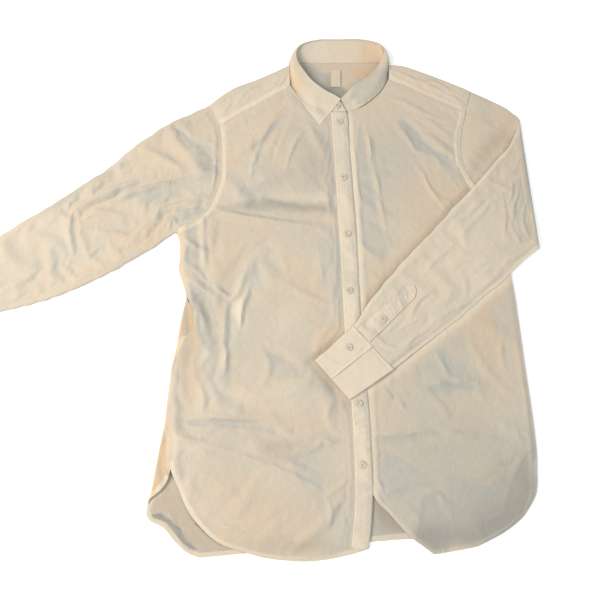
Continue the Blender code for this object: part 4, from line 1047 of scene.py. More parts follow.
leftFrontFaces = (
    (-0.7, (300, 277), (322, 274), (354, 242), (402, 196), (417, 166), (404, 157), (362, 213), (329, 225)),
    (0.6, (250, 277), (258, 242), (270, 183), (285, 74), (275, 99), (262, 174)),
    (-0.25, (230, 268), (250, 256), (262, 174), (277, 99), (293, 66), (268, 33), (239, 66), (232, 140)),
    (0.3, (239, 66), (268, 46), (279, 17), (262, -8), (247, 25)),
    (0.3, (303, 191), (372, 183), (383, 124), (334, 90), (302, 124)),
    (-0.9, (331, -325), (349, -319), (371, -379), (367, -408), (344, -410), (314, -387)),
    (
        -1.2, (512, -239), (479, -276), (455, -328), (448, -354), (414, -369), (420, -398), (474, -376),
        (506, -343),
    ),
    (-0.3, (369, -317), (423, -310), (453, -328), (448, -354), (414, -369), (375, -369)),
    (-0.6, (335, -166), (362, -153), (414, -158), (421, -169), (390, -167), (351, -169)),
    (0.7, (402, -48), (442, -32), (463, -103), (430, -143), (408, -103)),
    (-0.4, (345, -103), (394, -56), (408, -103), (398, -153), (370, -143), (352, -119)),
    (0.35, (252, -174), (275, -169), (303, -207), (341, -220), (313, -235), (266, -235)),
    (-0.7, (272, -166), (291, -174), (306, -197), (291, -192)),
    (-0.4, (256, -235), (302, -227), (352, -230), (321, -245), (274, -250)),
    (-0.3, (258, -258), (312, -273), (347, -310), (316, -317), (280, -332), (258, -303)),
)

x, y, height, layers, warmthAndPaintedLight = makeRightFront()
rightFrontTop = np.dstack((x, y, height))
rightFrontPiece = buildSheet(
    "right_front", rightFrontTop, clothLayer["shell"], clothSingle, layers=layers, warmthAndPaintedLight=warmthAndPaintedLight
)
print("right front is made")


# left front


def makeLeftFront():
    x, y = panelPlan(leftFront)
    table = evenly(leftFront["rows"], leftFront["down"])
    top = np.linspace(0, 1, len(table))[:, None]
    fromPlacket = x - placketEdge(y) - placketWidth
    fromLeft = x - x[:, :1]
    fromRight = x[:, -1:] - x
    apart = beyondForearm(x, y)
    free = ramp(fromPlacket, 6, 30) * ramp(fromLeft, 4, 30) * ramp(fromRight, 2, 26) * ramp(apart, 3, 26)
    free = free * ramp(top, 0.03, 0.12) * ramp(1 - top, 0.0, 0.08)
    away = np.minimum(ramp(fromPlacket, 2, 30), ramp(fromLeft, 2, 30))
    base = table[:, 4:5] + (table[:, 5:6] - table[:, 4:5]) * away * ramp(fromRight, 0, 30)
    base = frontLevel + (base - frontLevel) * ramp(apart, 1, 24)
    height = base + foldHeights(x, y, leftFront["folds"]) * free * 0.4
    loose = ramp(fromPlacket, 0, 12) * ramp(fromRight, 0, 10) * ramp(apart, 0, 14)
    loose = loose * ramp(top, 0, 0.02) * ramp(fromLeft, 0, 8)
    creased = creaseHeights(x, y, leftFront["creases"], 1.1, 0.6) * loose
    height += creased
    tone, rise = facesOf(x, y, leftFrontFaces)
    height += (1.2 + rise) * loose
    calm = 0.5 + 0.5 * ramp(wander(x, y, 230, 51), -0.5, 0.7)
    crumple = crumpled(x, y, leftFront["crumple"])
    height += crumple * calm * (0.2 + 0.8 * loose)
    height = keepAbove(height, frontLevel - 0.1) + clothLayer["thick"]
    edges = np.minimum(np.minimum(fromLeft, fromRight), np.minimum(apart, fromPlacket))
    ends = np.minimum(np.hypot(x - x[:1], y - y[:1]), np.hypot(x - x[-1:], y - y[-1:]))
    held = 1 - ramp(edges, 1, 9) * ramp(ends, 1, 9)
    under = np.full_like(x, frontLevel + clothLayer["thick"])
    settled = settle(np.dstack((x, y, height)), held, under, **leftFront["settle"])
    x, y, height = np.moveaxis(settled, 2, 0)
    height += 0.5 * creased + 0.4 * rise * loose
    height += 0.9 * ramp(fromPlacket, 18, 4) * ramp(fromPlacket, 0, 1.5) * (y < 240) + 1.1 * ramp(apart, 11, 1)
    below = (x - 237) * 0.69 > (y + 100) * 0.73       # on the lower side of the forearm
    # painted light and shade: lighter below the forearm and beside the placket, where their shadows fall, and a
    # painted shadow above the forearm
    layers = lightOf(x, y, leftFrontLight)
    layers += below * ramp(apart, 18, 1) - 0.35 * ~below * ramp(apart, 14, 2)
    layers += (0.45 + 0.55 * ramp(y, -180, 0)) * ramp(fromPlacket, 12, 2)
    left, right = edgeOf(x, y, 0), edgeOf(x, y, -1)
    band, inside = seamBand(x, y, right[right[:, 1] > 130], **leftFront["armholeBand"])
    height += band - 0.3 * ramp(fromRight, 3.5, 0) * (y > 120)
    layers += (1 - layers) * inside
    hemEdge = np.concatenate((left[left[:, 1] < -230], rowOf(x, y, -1), right[right[:, 1] < -276][::-1]))
    band, inside = seamBand(x, y, hemEdge, **leftFront["hemBand"])
    height += band
    layers += 0.3 * inside
    # painted light and shade: warmer where the cloth leans towards the key light, and a warm painted shadow
    # above the forearm
    warmthAndPaintedLight = paintedPatchesOf(x, y, leftFrontTones) + tone + lean(x, y, height) + 0.10 * np.clip(crumple / 2.2, -2, 2)
    warmthAndPaintedLight += 0.8 * ramp(apart, 26, 3) * (y > -120)
    warmthAndPaintedLight = np.clip(warmthAndPaintedLight, -0.4, 1.1)
    return x, y, soften(height, 1), layers, warmthAndPaintedLight


x, y, height, layers, warmthAndPaintedLight = makeLeftFront()
leftFrontTop = np.dstack((x, y, height))
leftFrontPiece = buildSheet(
    "left_front", leftFrontTop, clothLayer["shell"], clothSingle, layers=layers, warmthAndPaintedLight=warmthAndPaintedLight
)
print("left front is made")


# back


def rolled(edge, roll, length, distance):       # a place along cloth that rolls over at its edge
    turned = min(length / roll, math.pi)
    centre = edge + roll * math.sin(min(turned, math.pi / 2))
    angle = min(max(distance / roll, 0), math.pi)
    beyond = max(distance - math.pi * roll, 0)
    before = max(-distance, 0)
    place = centre - roll * math.sin(angle) + beyond + before
    return place, clothLayer["thick"] / 2 + roll * (1 - math.cos(angle))


def makeBack():
    down, flat, curled = backPanel["down"], backPanel["flat"], backPanel["curled"]
    roll = backPanel["roll"]
    seam = evenly(rightFront["rows"], 120)[:, :2]
    centre = np.zeros((down + 1, flat + curled + 1, 3))
    flap = np.zeros(centre.shape[:2])
    table = evenly(backPanel["rows"], down)
    for r, (leftX, leftY, rightX, rightY, curl) in enumerate(table):
        seamX = np.interp(-leftY, -seam[:, 1], seam[:, 0]) - backPanel["seamGap"]
        width = max(seamX + sideCurve(leftY) - leftX, 0)
        if width >= roll:
            length = math.pi * roll + width - roll
        else:
            length = roll * (math.pi - math.asin(1 - width / roll))
        length = max(length * curl, 0)
        begin = rolled(leftX, roll, length, -backPanel["approach"])[0]
        spots = [
            (rightX + (begin - rightX) * t * (1.6 - 0.6 * t), clothLayer["thick"] / 2, 0)
            for t in np.linspace(0, 1, flat + 1)[:-1]
        ]
        for distance in np.linspace(-backPanel["approach"], length, curled + 1):
            spots.append((*rolled(leftX, roll, length, distance), max(distance, 0)))
        slope = (rightY - leftY) / (rightX - leftX)
        for c, (place, rise, over) in enumerate(spots):
            centre[r, c] = (place, leftY + (place - leftX) * slope, rise)
            flap[r, c] = over
    return centre, flap


# painted shade of the tail's fold, and warmer cloth beside it: tone, and the corners of each face
tailFaces = (
    (
        -1.0, (-88, -355), (-76, -351), (-57, -362), (-41, -377), (-33, -392),
        (-18, -406), (-22, -409), (-36, -402), (-49, -384), (-64, -365), (-83, -362),
    ),
    (
        0.3, (-59, -296), (-19, -362), (20, -395), (48, -408),
        (-13, -406), (-33, -387), (-52, -358), (-84, -343), (-84, -325),
    ),
)
tailCreases = (
    (7, 9, 5, (-96, -343), (-58, -354), (-48, -378), (-20, -404)),
    (7, 8, -2, (-90, -352), (-64, -362), (-52, -384), (-30, -406)),
    (8, 10, 2.5, (-70, -330), (-40, -340), (-12, -372)), (6, 8, 2, (-30, -360), (0, -388), (30, -402)),
)


def dressBack():
    centre, flap = makeBack()
    x, y = centre[:, :, 0], centre[:, :, 1]
    lying = flap <= 0
    small = crumpled(x, y, backPanel["crumple"])
    streaks = np.sin(x / 2.6 + 1.5 * wander(x, y, 60, 77))
    tailTone, tailRise = facesOf(x, y, tailFaces)
    rise = np.abs(small) * 0.35 * lying
    tail = ramp(-y, 318, 372) * ramp(120 - x, 0, 60)       # the tail that shows beside the right front
    rise += tail * lying * (1.8 + 0.4 * creaseHeights(x, y, tailCreases, 1.0, 1.0) + 1.6 * tailRise)
    seamX = np.interp(-y, *evenly(rightFront["rows"], 120)[:, :2].T[::-1] * np.array(((-1,), (1,))))
    covered = (x > seamX - 3) & (x < 225) | (x > 235)
    limit = np.where(covered, 0.3, 6.0) * ramp(-y, 296, 322) + 0.2
    inner = centre.copy()
    inner[:, :, 2] += np.where(lying, np.minimum(rise, limit), 0.5 * (small + streaks) * ramp(flap, 6, 14))
    left, right = edgeOf(x, y, 0), edgeOf(x, y, -1)
    hemEdge = np.concatenate((
        right[right[:, 1] < -300], rowOf(x, y, -1)[::-1], left[left[:, 1] < -285][::-1],
    ))
    band, inside = seamBand(x, y, hemEdge, **backPanel["hemBand"])
    inner[:, :, 2] += np.where(lying, np.maximum(band, -0.2), 0)
    away, _ = lineDistance(x, y, right[(right[:, 1] < -88) & (right[:, 1] > -285)])
    sideBand = ramp(away, 9.5, 7.5) * (flap > math.pi * backPanel["roll"] * 0.75)
    # painted shade: the curled side strip is amber with streaks of painted shade along its folds, the tail's
    # fold is brown, and brown painted shade lies round x 290, y -345
    warmthAndPaintedLight = 0.5 + 0.42 * ramp(flap, 1, 8) + 0.1 * ramp(-y, 300, 340) * lying + 0.15 * wander(x, y, 80, 75)
    warmthAndPaintedLight = np.clip(warmthAndPaintedLight, 0, 1) + lying * tailTone * 1.5
    warmthAndPaintedLight = np.where(lying, warmthAndPaintedLight, 1.5 - 0.6 * ramp(streaks, 0.3, 1))
    warmthAndPaintedLight -= lying * 1.3 * ramp(np.hypot(x - 290, y + 345), 90, 20)
    # painted shade: the tail that shows and the curled strip are dimmed, most in the tail's fold and along the
    # strip's streaks
    shown = lying * ramp(-y, 296, 330) * ramp(120 - x, 0, 60)
    dimmed = shown * (0.4 + np.clip(-1.6 * tailTone, 0, 0.6))
    dimmed += ~lying * (0.05 + 0.2 * ramp(streaks, -0.6, 0.6) + 0.15 * ramp(y, -230, -20))
    layers = np.maximum(inside * 0.8, 0.55 * sideBand * ramp(wander(x, y, 90, 76), -1.2, 0.2))
    layers = np.where(layers > 0.15, layers - 0.3 * shown, -dimmed)
    # the inside of the cloth is up where the back lies flat, and the outside where it has curled over
    insideTop = inner + outwardNormals(inner, 0, 0) * clothLayer["thick"] / 2
    buildSheet(
        "back_panel", insideTop, clothLayer["thick"] * 0.9, clothSingle,
        layers=layers, warmthAndPaintedLight=warmthAndPaintedLight, up=(0, 0),
    )


dressBack()
print("back is made")


# yoke


def makeYoke():
    across, backRows = yokePiece["across"], yokePiece["backRows"]
    rollRows, frontRows = yokePiece["rollRows"], yokePiece["frontRows"]
    half = clothLayer["thick"] / 2
    table = evenly(yokePiece["columns"], across)
    rows = backRows + rollRows + frontRows
    centre = np.zeros((rows + 1, across + 1, 3))
    shareDown = np.zeros((rows + 1, across + 1))
    for c, (topX, topY, seamX, seamY, hasFront) in enumerate(table):
        roll = yokePiece["roll"] * (1 - 0.4 * ramp(min(c, across - c), 5, 0))
        high = np.array((topX, topY + yokePiece["neckReach"] * (hasFront < 0.95)))
        low = np.array((topX + (210 - topX) * 0.085, yokePiece["backSeam"] + 0.8))
        seam = np.array((seamX, seamY))
        for r in range(backRows + 1):
            spot = low + (high - np.array((0, roll)) - low) * r / backRows
            centre[r, c] = (*spot, half)
        for r in range(1, rollRows + 1):
            angle = math.pi * r / rollRows
            spot = high + np.array((0, roll * (math.sin(angle) - 1)))
            centre[backRows + r, c] = (*spot, half + roll * (1 - math.cos(angle)))
        start = high - np.array((0, roll))
        for r in range(1, frontRows + 1):
            part = r / frontRows
            spot = start + (seam + np.array((0, -2.2)) - start) * part
            centre[backRows + rollRows + r, c] = (*spot, half + 2 * roll - 1.0 * ramp(part, 0.3, 1))
            shareDown[backRows + rollRows + r, c] = part
    return centre, shareDown, table[:, 4] < 0.95, backRows


def dressYoke(centre, shareDown):
    seed = yokePiece["seed"]
    x, y = centre[:, :, 0], centre[:, :, 1]
    front = shareDown > 0
    rise = creaseHeights(x, y, yokeCreases, 1.0, 1.0, 1.0)
    rise = rise + facets(x, y, 30, 0.7, seed) + facets(x, y, 13, 0.3, seed + 1)
    rise = rise * ramp(shareDown, 0.0, 0.25) * ramp(1 - shareDown, 0, 0.08)
    band, inside = seamBand(x, y, rowOf(x, y, -1), 8.0, 0.5, seed + 2, 0.5)
    top = centre.copy()
    top[:, :, 2] += np.where(front, np.maximum(rise, -0.8) + band * front, 0)
    top += outwardNormals(centre, -3, 8) * clothLayer["thick"] / 2
    # painted light and shade: the yoke's front is painted lighter, and inside the neck it is dimmer and browner
    # where the collar shades it
    inNeck = (shareDown <= 0) * facesOf(x, y, neckFaces)[0]
    layers = np.where(front, np.maximum(0.95 * inside, 0.3), 0.45 * np.minimum(inNeck, 0))
    warmthAndPaintedLight = np.clip(paintedPatchesOf(x, y, yokeTones) + inNeck, -0.7, 1.6)
    return top, layers + lightOf(x, y, yokeLight), warmthAndPaintedLight


yokeCentre, yokeShare, openNeck, yokeBackRows = makeYoke()


yokeCreases = (
    (5, 7, 1.6, (-4, 292), (30, 300), (70, 316)), (6, 8, 1.8, (10, 318), (52, 332), (96, 352)),
    (5, 7, -1.2, (-8, 300), (40, 322), (88, 341)), (5, 8, 1.5, (60, 312), (84, 330), (110, 352)),
    (4, 6, 1.8, (30, 298), (44, 322), (70, 338)), (4, 6, -1.6, (48, 304), (66, 322), (96, 338)),
    (4, 7, 1.8, (84, 330), (104, 338), (120, 360)), (4, 6, 1.6, (2, 284), (18, 298), (22, 320)),
    (4, 6, 1.5, (330, 336), (352, 344), (378, 338)), (4, 6, -1.4, (366, 318), (388, 322), (408, 312)),
    (6, 8, 1.8, (300, 358), (352, 338), (408, 306)), (5, 7, -1.2, (312, 352), (350, 330), (396, 312)),
    (5, 8, 1.5, (352, 350), (384, 330), (404, 304)), (5, 7, 1.4, (292, 364), (320, 352), (344, 330)),
)
# painted shade on the yoke beside the collar, then painted warm light and grey shade on it
yokeLight = ((119, 364, 10, 14, -0.8), (191, 326, 19, 16, -0.5))
yokeTones = (
    (331, 338, 40, 19, 1.1), (40, 330, 50, 14, -0.4), (350, 350, 60, 12, -0.4), (380, 330, 50, 8, 0.4),
)
# painted shade and warm light inside the neck: tone, and the corners of each face
neckFaces = (
    (1.2, (176, 377), (215, 377), (215, 364), (176, 366)),
    (-0.9, (132, 377), (163, 375), (179, 361), (191, 361), (191, 341), (196, 318), (176, 329), (152, 348)),
    (1.7, (213, 366), (227, 373), (274, 377), (267, 363), (257, 348), (240, 350), (223, 357)),
    (-2.0, (183, 332), (196, 340), (209, 336), (223, 327), (203, 317)),
    (0.5, (215, 355), (250, 348), (226, 327), (211, 334)),
)
yokeTop, yokeLayersAndPaintedLight, yokeWarmthAndPaintedLight = dressYoke(yokeCentre, yokeShare)
neckGap = [c for c, isOpen in enumerate(openNeck) if isOpen]
yokeSheet = buildSheet(
    "shoulder_yoke", yokeTop, clothLayer["thick"] * 0.9, clothSingle, layers=yokeLayersAndPaintedLight, warmthAndPaintedLight=yokeWarmthAndPaintedLight,
    up=(len(yokeTop) - 3, 8), hole=lambda r, c: r >= yokeBackRows and (c in neckGap or c + 1 in neckGap),
)
print("yoke is made")

# sleeves
sleeveCreases = {
    "right": (
        (10, 14, -4, (-248, 87), (-204, 125), (-163, 147), (-111, 172)),
        (8, 12, 4.2, (-248, 103), (-209, 135), (-168, 157), (-113, 180)),
        (8, 12, -3.2, (-172, 126), (-130, 145), (-90, 158), (-38, 168)),
        (6, 10, 3.4, (-177, 135), (-132, 153), (-90, 167), (-34, 177)),
        (8, 10, -4.6, (-156, 54), (-110, 75), (-75, 116), (-11, 128)),
        (9, 12, 4.6, (-164, 67), (-120, 87), (-82, 126), (-14, 140)),
        (6, 8, 2.4, (-189, 83), (-165, 87), (-139, 83)),
        (5, 7, 2.4, (-62, 97), (-46, 95), (-29, 88)),
        (16, 18, -7, (-71, 272), (-44, 236), (-17, 213), (2, 180)),
        (8, 10, 3.6, (-50, 262), (-29, 231), (-6, 211)),
        (9, 12, 3, (-111, 224), (-91, 214), (-58, 197)),
        (7, 10, 2.4, (-211, 107), (-186, 120), (-147, 116)),
        (8, 10, 2.6, (-237, 37), (-199, 54), (-164, 69)),
        (7, 9, 2.4, (-105, 130), (-79, 143), (-50, 147)),
        (6, 8, 2, (-48, 131), (-31, 147), (-11, 153)),
        (10, 12, 2.8, (-242, 133), (-201, 157), (-169, 177)),
        (8, 10, -2.4, (-156, 194), (-124, 207), (-104, 204)),
        (6, 9, 2, (-120, 100), (-88, 103), (-62, 110)),
        (7, 10, 2.2, (-226, 5), (-195, 21), (-150, 37)),
        (10, 12, 2.4, (-281, 73), (-312, 47), (-359, 28)),
        (9, 12, -2.4, (-269, 37), (-310, 15), (-362, -18)),
        (8, 10, 2.2, (-292, -8), (-339, -34), (-385, -50)),
    ),
    "left": (
        (6, 9, 3.4, (446, 173), (462, 163), (479, 156)),
        (5, 8, 3.2, (485, 176), (482, 144), (472, 129)),
        (6, 8, 3, (465, 156), (468, 131), (471, 103), (466, 73)),
        (6, 8, 2.6, (494, 153), (484, 123), (480, 96)),
        (8, 10, 3.6, (458, 161), (431, 134), (401, 108), (378, 86)),
        (8, 9, -3, (451, 146), (428, 123), (407, 96)),
        (7, 9, 2.8, (454, 138), (427, 113), (402, 83), (383, 62)),
        (6, 9, 2.4, (506, 139), (498, 103), (510, 73)),
        (8, 10, 3, (517, 62), (479, 44), (442, 5), (410, -18)),
        (8, 10, -2.8, (506, 63), (470, 57), (430, 27)),
        (7, 9, 2.6, (461, 63), (431, 47), (399, 37)),
        (7, 10, 2.6, (383, 62), (354, 37), (331, 8)),
        (6, 8, 2.2, (422, -24), (390, -34), (361, -53)),
        (6, 9, 2.4, (409, -24), (361, -53), (319, -85), (290, -103)),
        (5, 7, 2, (335, -53), (313, -59), (291, -75)),
        (8, 10, 2.4, (379, 27), (343, -11), (313, -43)),
        (6, 8, -2, (362, -8), (336, -27), (313, -59)),
        (5, 6, 2.4, (379, 73), (384, 68), (385, 62)),
        (5, 6, 2.4, (327, 52), (338, 44), (349, 37)),
        (4, 5, 2.2, (264, -80), (278, -72), (294, -66)),
        (5, 7, 2.2, (262, -85), (274, -97), (293, -100)),
        (6, 8, 2, (277, -107), (303, -97), (328, -78)),
        (7, 9, 2, (437, 279), (453, 265), (469, 258)),
        (6, 8, 2.2, (410, 5), (437, 24), (463, 37)),
        (6, 8, 2, (473, 116), (487, 80), (499, 57)),
    ),
}
sleeveFolds = {
    "right": (
        (-60, 250, -12, 160, 16, 4.0), (-250, 112, -110, 186, 14, 5.0), (-240, 60, -60, 132, 14, 4.5),
        (-200, 30, -100, 96, 13, 4.5), (-170, 150, -60, 190, 14, 4.0), (-60, 120, -20, 128, 10, 3.0),
        (-400, 10, -270, 90, 14, 3.5), (-380, -30, -260, 34, 13, 3.0),
    ),
    "left": (
        (440, 270, 486, 200, 16, 2.5), (490, 240, 508, 110, 13, 4.0), (462, 170, 500, 70, 14, 4.0),
        (330, 44, 440, 120, 16, 4.0), (342, 4, 430, 66, 14, 3.5), (300, -70, 420, 10, 14, 3.5),
        (400, 20, 478, 60, 14, 3.5),
    ),
}
# painted light and shade on the sleeves: x, y, size across, size down, and tone, above 0 peach, below 0 grey
sleeveTones = {
    "right": (
        (-189, 176, 22, 13, 0.3), (-249, 65, 19, 32, -0.4), (-187, 132, 26, 19, 0.5),
        (-57, 140, 19, 16, 0.5), (-45, 216, 13, 22, 0.4), (-225, 74, 22, 32, 0.3), (-96, 87, 42, 22, 0.6),
        (-235, 115, 22, 22, 0.3), (-150, 150, 70, 24, -0.5), (-90, 230, 40, 26, 0.1),
        (-120, 66, 60, 14, 0.4), (-200, 110, 30, 20, 0.3), (-230, 60, 30, 24, -0.4),
        (-110, 120, 40, 16, 0.2), (-60, 110, 26, 14, -0.35), (-190, 30, 40, 14, 0.35),
        (-230, 130, 40, 40, -0.3), (-60, 170, 60, 60, -0.25),
    ),
    "left": (
        (484, 277, 19, 26, 0.6), (458, 285, 42, 29, 0.4), (483, 254, 11, 11, 0.9), (469, 240, 11, 11, 0.9),
        (456, 227, 11, 11, 0.8), (442, 211, 11, 11, 0.7), (428, 196, 11, 11, 0.8), (416, 179, 10, 10, 0.8),
        (430, 70, 50, 26, 0.3), (360, 10, 40, 30, 0.25), (500, 150, 14, 50, -0.3), (480, 26, 30, 20, 0.4),
        (300, -80, 30, 20, -0.3), (400, 110, 40, 10, -0.3), (340, 40, 40, 10, -0.3),
        (330, -60, 40, 14, 0.2), (450, 240, 40, 30, 0.3),
    ),
}


# painted light on the sleeves: above 0 lighter, below 0 dimmer painted shade
sleeveLight = {
    "right": ((-189, 177, 22, 13, -0.3), (-252, 65, 16, 35, 0.4), (-52, 273, 48, 16, -0.15)),
    "left": (
        (448, 130, 16, 35, 0.25), (474, 165, 10, 19, 0.15), (483, 254, 10, 10, -0.22),
        (469, 240, 10, 10, -0.3), (456, 227, 10, 10, -0.3), (442, 211, 10, 10, -0.3),
        (428, 194, 10, 10, -0.42), (416, 177, 10, 10, -0.4), (416, 308, 10, 21, 0.8),
        (414, 74, 80, 64, 0.2), (274, -40, 32, 26, 0.3), (433, 157, 32, 32, 0.2),
    ),
}
# painted tone, light above 0 and shade below 0, and the corners of faces between creases on the sleeves
sleeveFaces = {
    "right": (
        (-1.6, (-73, 267), (-52, 256), (-18, 225), (3, 196), (3, 183), (-22, 191), (-31, 222), (-51, 242)),
        (-0.4, (-123, 149), (-98, 154), (-46, 171), (-41, 157), (-81, 140), (-122, 124)),
        (0.6, (-120, 82), (-97, 107), (-65, 124), (-69, 104), (-109, 71)),
        (-0.6, (-61, 124), (-21, 129), (-16, 120), (-48, 107), (-61, 99)),
    ),
    "left": (
        (-0.45, (498, 173), (509, 156), (514, 106), (520, 62), (492, 40), (490, 98), (483, 123)),
    ),
}


def flatRing(flatSteps, underSteps, roundSteps):
    # shares across a flattened tube, reach beyond it, height from its middle
    turns = [math.pi * step / roundSteps for step in range(1, roundSteps)]
    ring = [(step / flatSteps, 0.0, 1.0) for step in range(flatSteps + 1)]
    ring += [(1.0, math.sin(turn), math.cos(turn)) for turn in turns]
    ring += [(1 - step / underSteps, 0.0, -1.0) for step in range(underSteps + 1)]
    ring += [(0.0, -math.sin(turn), -math.cos(turn)) for turn in turns]
    return np.array(ring + ring[:1])


def sleeveLines(rows, armhole, outward, steps=60):
    lines = []
    if armhole:
        curve = evenly(armhole, steps)
        step = np.gradient(curve, axis=0)
        step /= np.linalg.norm(step, axis=1, keepdims=True)
        lines.append(curve + np.column_stack((-step[:, 1], step[:, 0])) * outward)
    for row in rows:
        start, stop = np.array(row[:2], float), np.array(row[2:4], float)
        lines.append(start + (stop - start) * np.linspace(0, 1, steps + 1)[:, None])
    return lines


def tubeShape(rows, armhole, outward, places, ring):
    lines = smooth(sleeveLines(rows, armhole, outward), places)
    shape = [(row[4], row[5], row[6]) for row in rows]
    if armhole:
        shape.insert(0, (1.4, 1.2, 0))
    shape = np.array([np.interp(places, range(len(shape)), column) for column in zip(*shape)]).T
    points = np.zeros((len(places), len(ring), 3))
    edge = np.zeros(points.shape[:2])
    upward = np.zeros(points.shape[:2])
    bottom = np.zeros(points.shape[:2])
    for r, (line, (middle, half, turn)) in enumerate(zip(lines, shape)):
        length = np.concatenate(([0], np.cumsum(np.linalg.norm(np.diff(line, axis=0), axis=1))))
        side = (line[-1] - line[0]) / np.linalg.norm(line[-1] - line[0])
        tilt = math.radians(turn)
        up = np.array((side[1] * math.sin(tilt), -side[0] * math.sin(tilt), math.cos(tilt)))
        spot = half + ring[:, 0] * (length[-1] - 2 * half) + ring[:, 1] * half
        points[r, :, 0] = np.interp(spot, length, line[:, 0])
        points[r, :, 1] = np.interp(spot, length, line[:, 1])
        points[r, :, 2] = middle
        points[r] += ring[:, 2:3] * half * up
        edge[r] = np.minimum(ring[:, 0], 1 - ring[:, 0]) * length[-1]
        upward[r] = ring[:, 2] * math.cos(tilt)
        bottom[r] = middle - half
    return points, edge, upward, bottom


def makeSleeve(key, armhole, outward, places, ring, face):
    look = sleeveCloth[key]
    seed, turn = look["seed"], look["turn"]
    points, edge, upward, bottom = tubeShape(sleeveTables[key], armhole, outward, places, ring)
    x, y = points[:, :, 0], points[:, :, 1]
    rise = foldHeights(x, y, sleeveFolds[key]) * 0.35
    rise = rise + creaseHeights(x, y, sleeveCreases[key], *look["creases"])
    small = crumpled(x, y, (
        (44, 2.2, seed, turn, 1.5), (23, 0.8, seed + 1, turn + 0.3, 1.3), (12, 0.3, seed + 2),
    ))
    away, along = lineDistance(x, y, evenly(armhole, 60))
    ripple = 0.5 * np.sin(along / 9.0 * math.tau + 2.5 * wander(x, y, 40, seed + 3))
    ripple = ripple * ramp(away, 16, 2) * ramp(away, 0, 1.5)
    tone, faceRise = facesOf(x, y, sleeveFaces[key])
    rise += faceRise
    lift = rise * ramp(edge, 0, 12) * ramp(away, 1, 14) + small * ramp(edge, -2, 10) * ramp(away, 0, 10)
    lift = (lift + ripple) * ramp(upward, 0.2, 0.95)
    plain = points[:, :, 2]
    raised = keepAbove(plain + lift, np.minimum(bottom + 2.3, plain), 0.35)
    under = np.abs(small) * 0.3 * ramp(-upward, 0.5, 1) * ramp(edge, 4, 20)
    points[:, :, 2] = np.where(upward > 0.2, raised, plain) + under
    wobble = ramp(edge, 16, 0) * ramp(away, 4, 16)
    points[:, :, 0] += wobble * wander(x, y, 34, seed + 4) * 0.9
    points[:, :, 1] += wobble * wander(x, y, 30, seed + 5) * 0.9
    ends = np.minimum(away, np.hypot(x - x[-1:], y - y[-1:]))
    held = 1 - ramp(edge, 2, 12) * ramp(ends, 2, 12)
    points[face] = settle(points[face], held[face], bottom[face] + 1.6, **look["settle"])
    points[:, -1] = points[:, 0]
    x, y, height = np.moveaxis(points, 2, 0)
    # painted light and shade: warmer where the cloth leans towards the key light, and the tone, light and face
    # tables
    warmthAndPaintedLight = paintedPatchesOf(x, y, sleeveTones[key]) + tone + lean(x, y, height) * ramp(upward, 0.2, 0.9)
    return points, np.clip(warmthAndPaintedLight, -0.4, 1.1), lightOf(x, y, sleeveLight[key]) * ramp(upward, 0.2, 0.9)


sleeveCloth = {
    "right": {"turn": 0.6, "seed": 91, "creases": (1.15, 0.75), "settle": {"growth": 0.010, "bend": 12.0}},
    "left": {"turn": 0.85, "seed": 95, "creases": (0.65, 0.5), "settle": {"growth": 0.005, "bend": 12.0}},
}
points, warmthAndPaintedLight, light = makeSleeve(
    "right", rightArmhole, 3.0, np.linspace(0, 8, 165), flatRing(74, 26, 9), np.s_[:, :75]
)
buildSheet(
    "right_sleeve", points, clothLayer["shell"], clothSingle, wrap=True, layers=light, warmthAndPaintedLight=warmthAndPaintedLight
)
print("right sleeve is made")

leftPlaces = np.concatenate((np.linspace(0, 2, 40), np.linspace(2.06, 6, 44), np.linspace(6.06, 14, 128)))
points, warmthAndPaintedLight, light = makeSleeve(
    "left", leftArmhole, -3.0, leftPlaces, flatRing(66, 66, 9), np.s_[90:, 75:142]
)
forearm = [row for row in sleeveTables["left"] if row[6] == 180]       # the rows past the fold
upperAway, _ = lineDistance(points[:, :, 0], points[:, :, 1], [row[:2] for row in forearm])
lowerAway, along = lineDistance(points[:, :, 0], points[:, :, 1], [row[2:4] for row in forearm])
onTop = ramp(points[:, :, 2], 5, 8)
points[:, :, 2] -= 0.52 * np.maximum(points[:, :, 2] - 4.3, 0) * ramp(lowerAway, 14, 2) * ramp(along, 0, 40)
# the folded edges are paler as doubled cloth; painted light lies over the forearm's top and along its lower
# edge, where its own shade falls
lowerEdgeAndPaintedLight = 0.9 * ramp(lowerAway, 8, 5) + 0.2 * ramp(lowerAway, 24, 8)
forearmEdgesAndPaintedLight = np.maximum(0.42 * ramp(along, 0, 60), np.maximum(0.8 * ramp(upperAway, 6.5, 5), lowerEdgeAndPaintedLight))
forearmEdgesAndPaintedLight = forearmEdgesAndPaintedLight * np.maximum(onTop, ramp(lowerAway, 3, 1))
leftSleevePiece = buildSheet(
    "left_sleeve", points, clothLayer["shell"], clothSingle,
    wrap=True, layers=np.maximum(forearmEdgesAndPaintedLight, 0) + light, warmthAndPaintedLight=warmthAndPaintedLight,
)
print("left sleeve is made")

# cuffs
points, edge, upward, bottom = tubeShape(rightCuff, None, 0, np.linspace(0, 1, 34), flatRing(40, 20, 9))
x, y = points[:, :, 0], points[:, :, 1]
points[:, :, 2] += crumpled(x, y, ((20, 0.5, 101), (9, 0.25, 102))) * ramp(upward, 0.2, 0.9)
points[:, -1] = points[:, 0]
buildSheet("right_cuff", points, 1.2, clothDoubledShaded, wrap=True, layers=np.full(x.shape, 0.6))


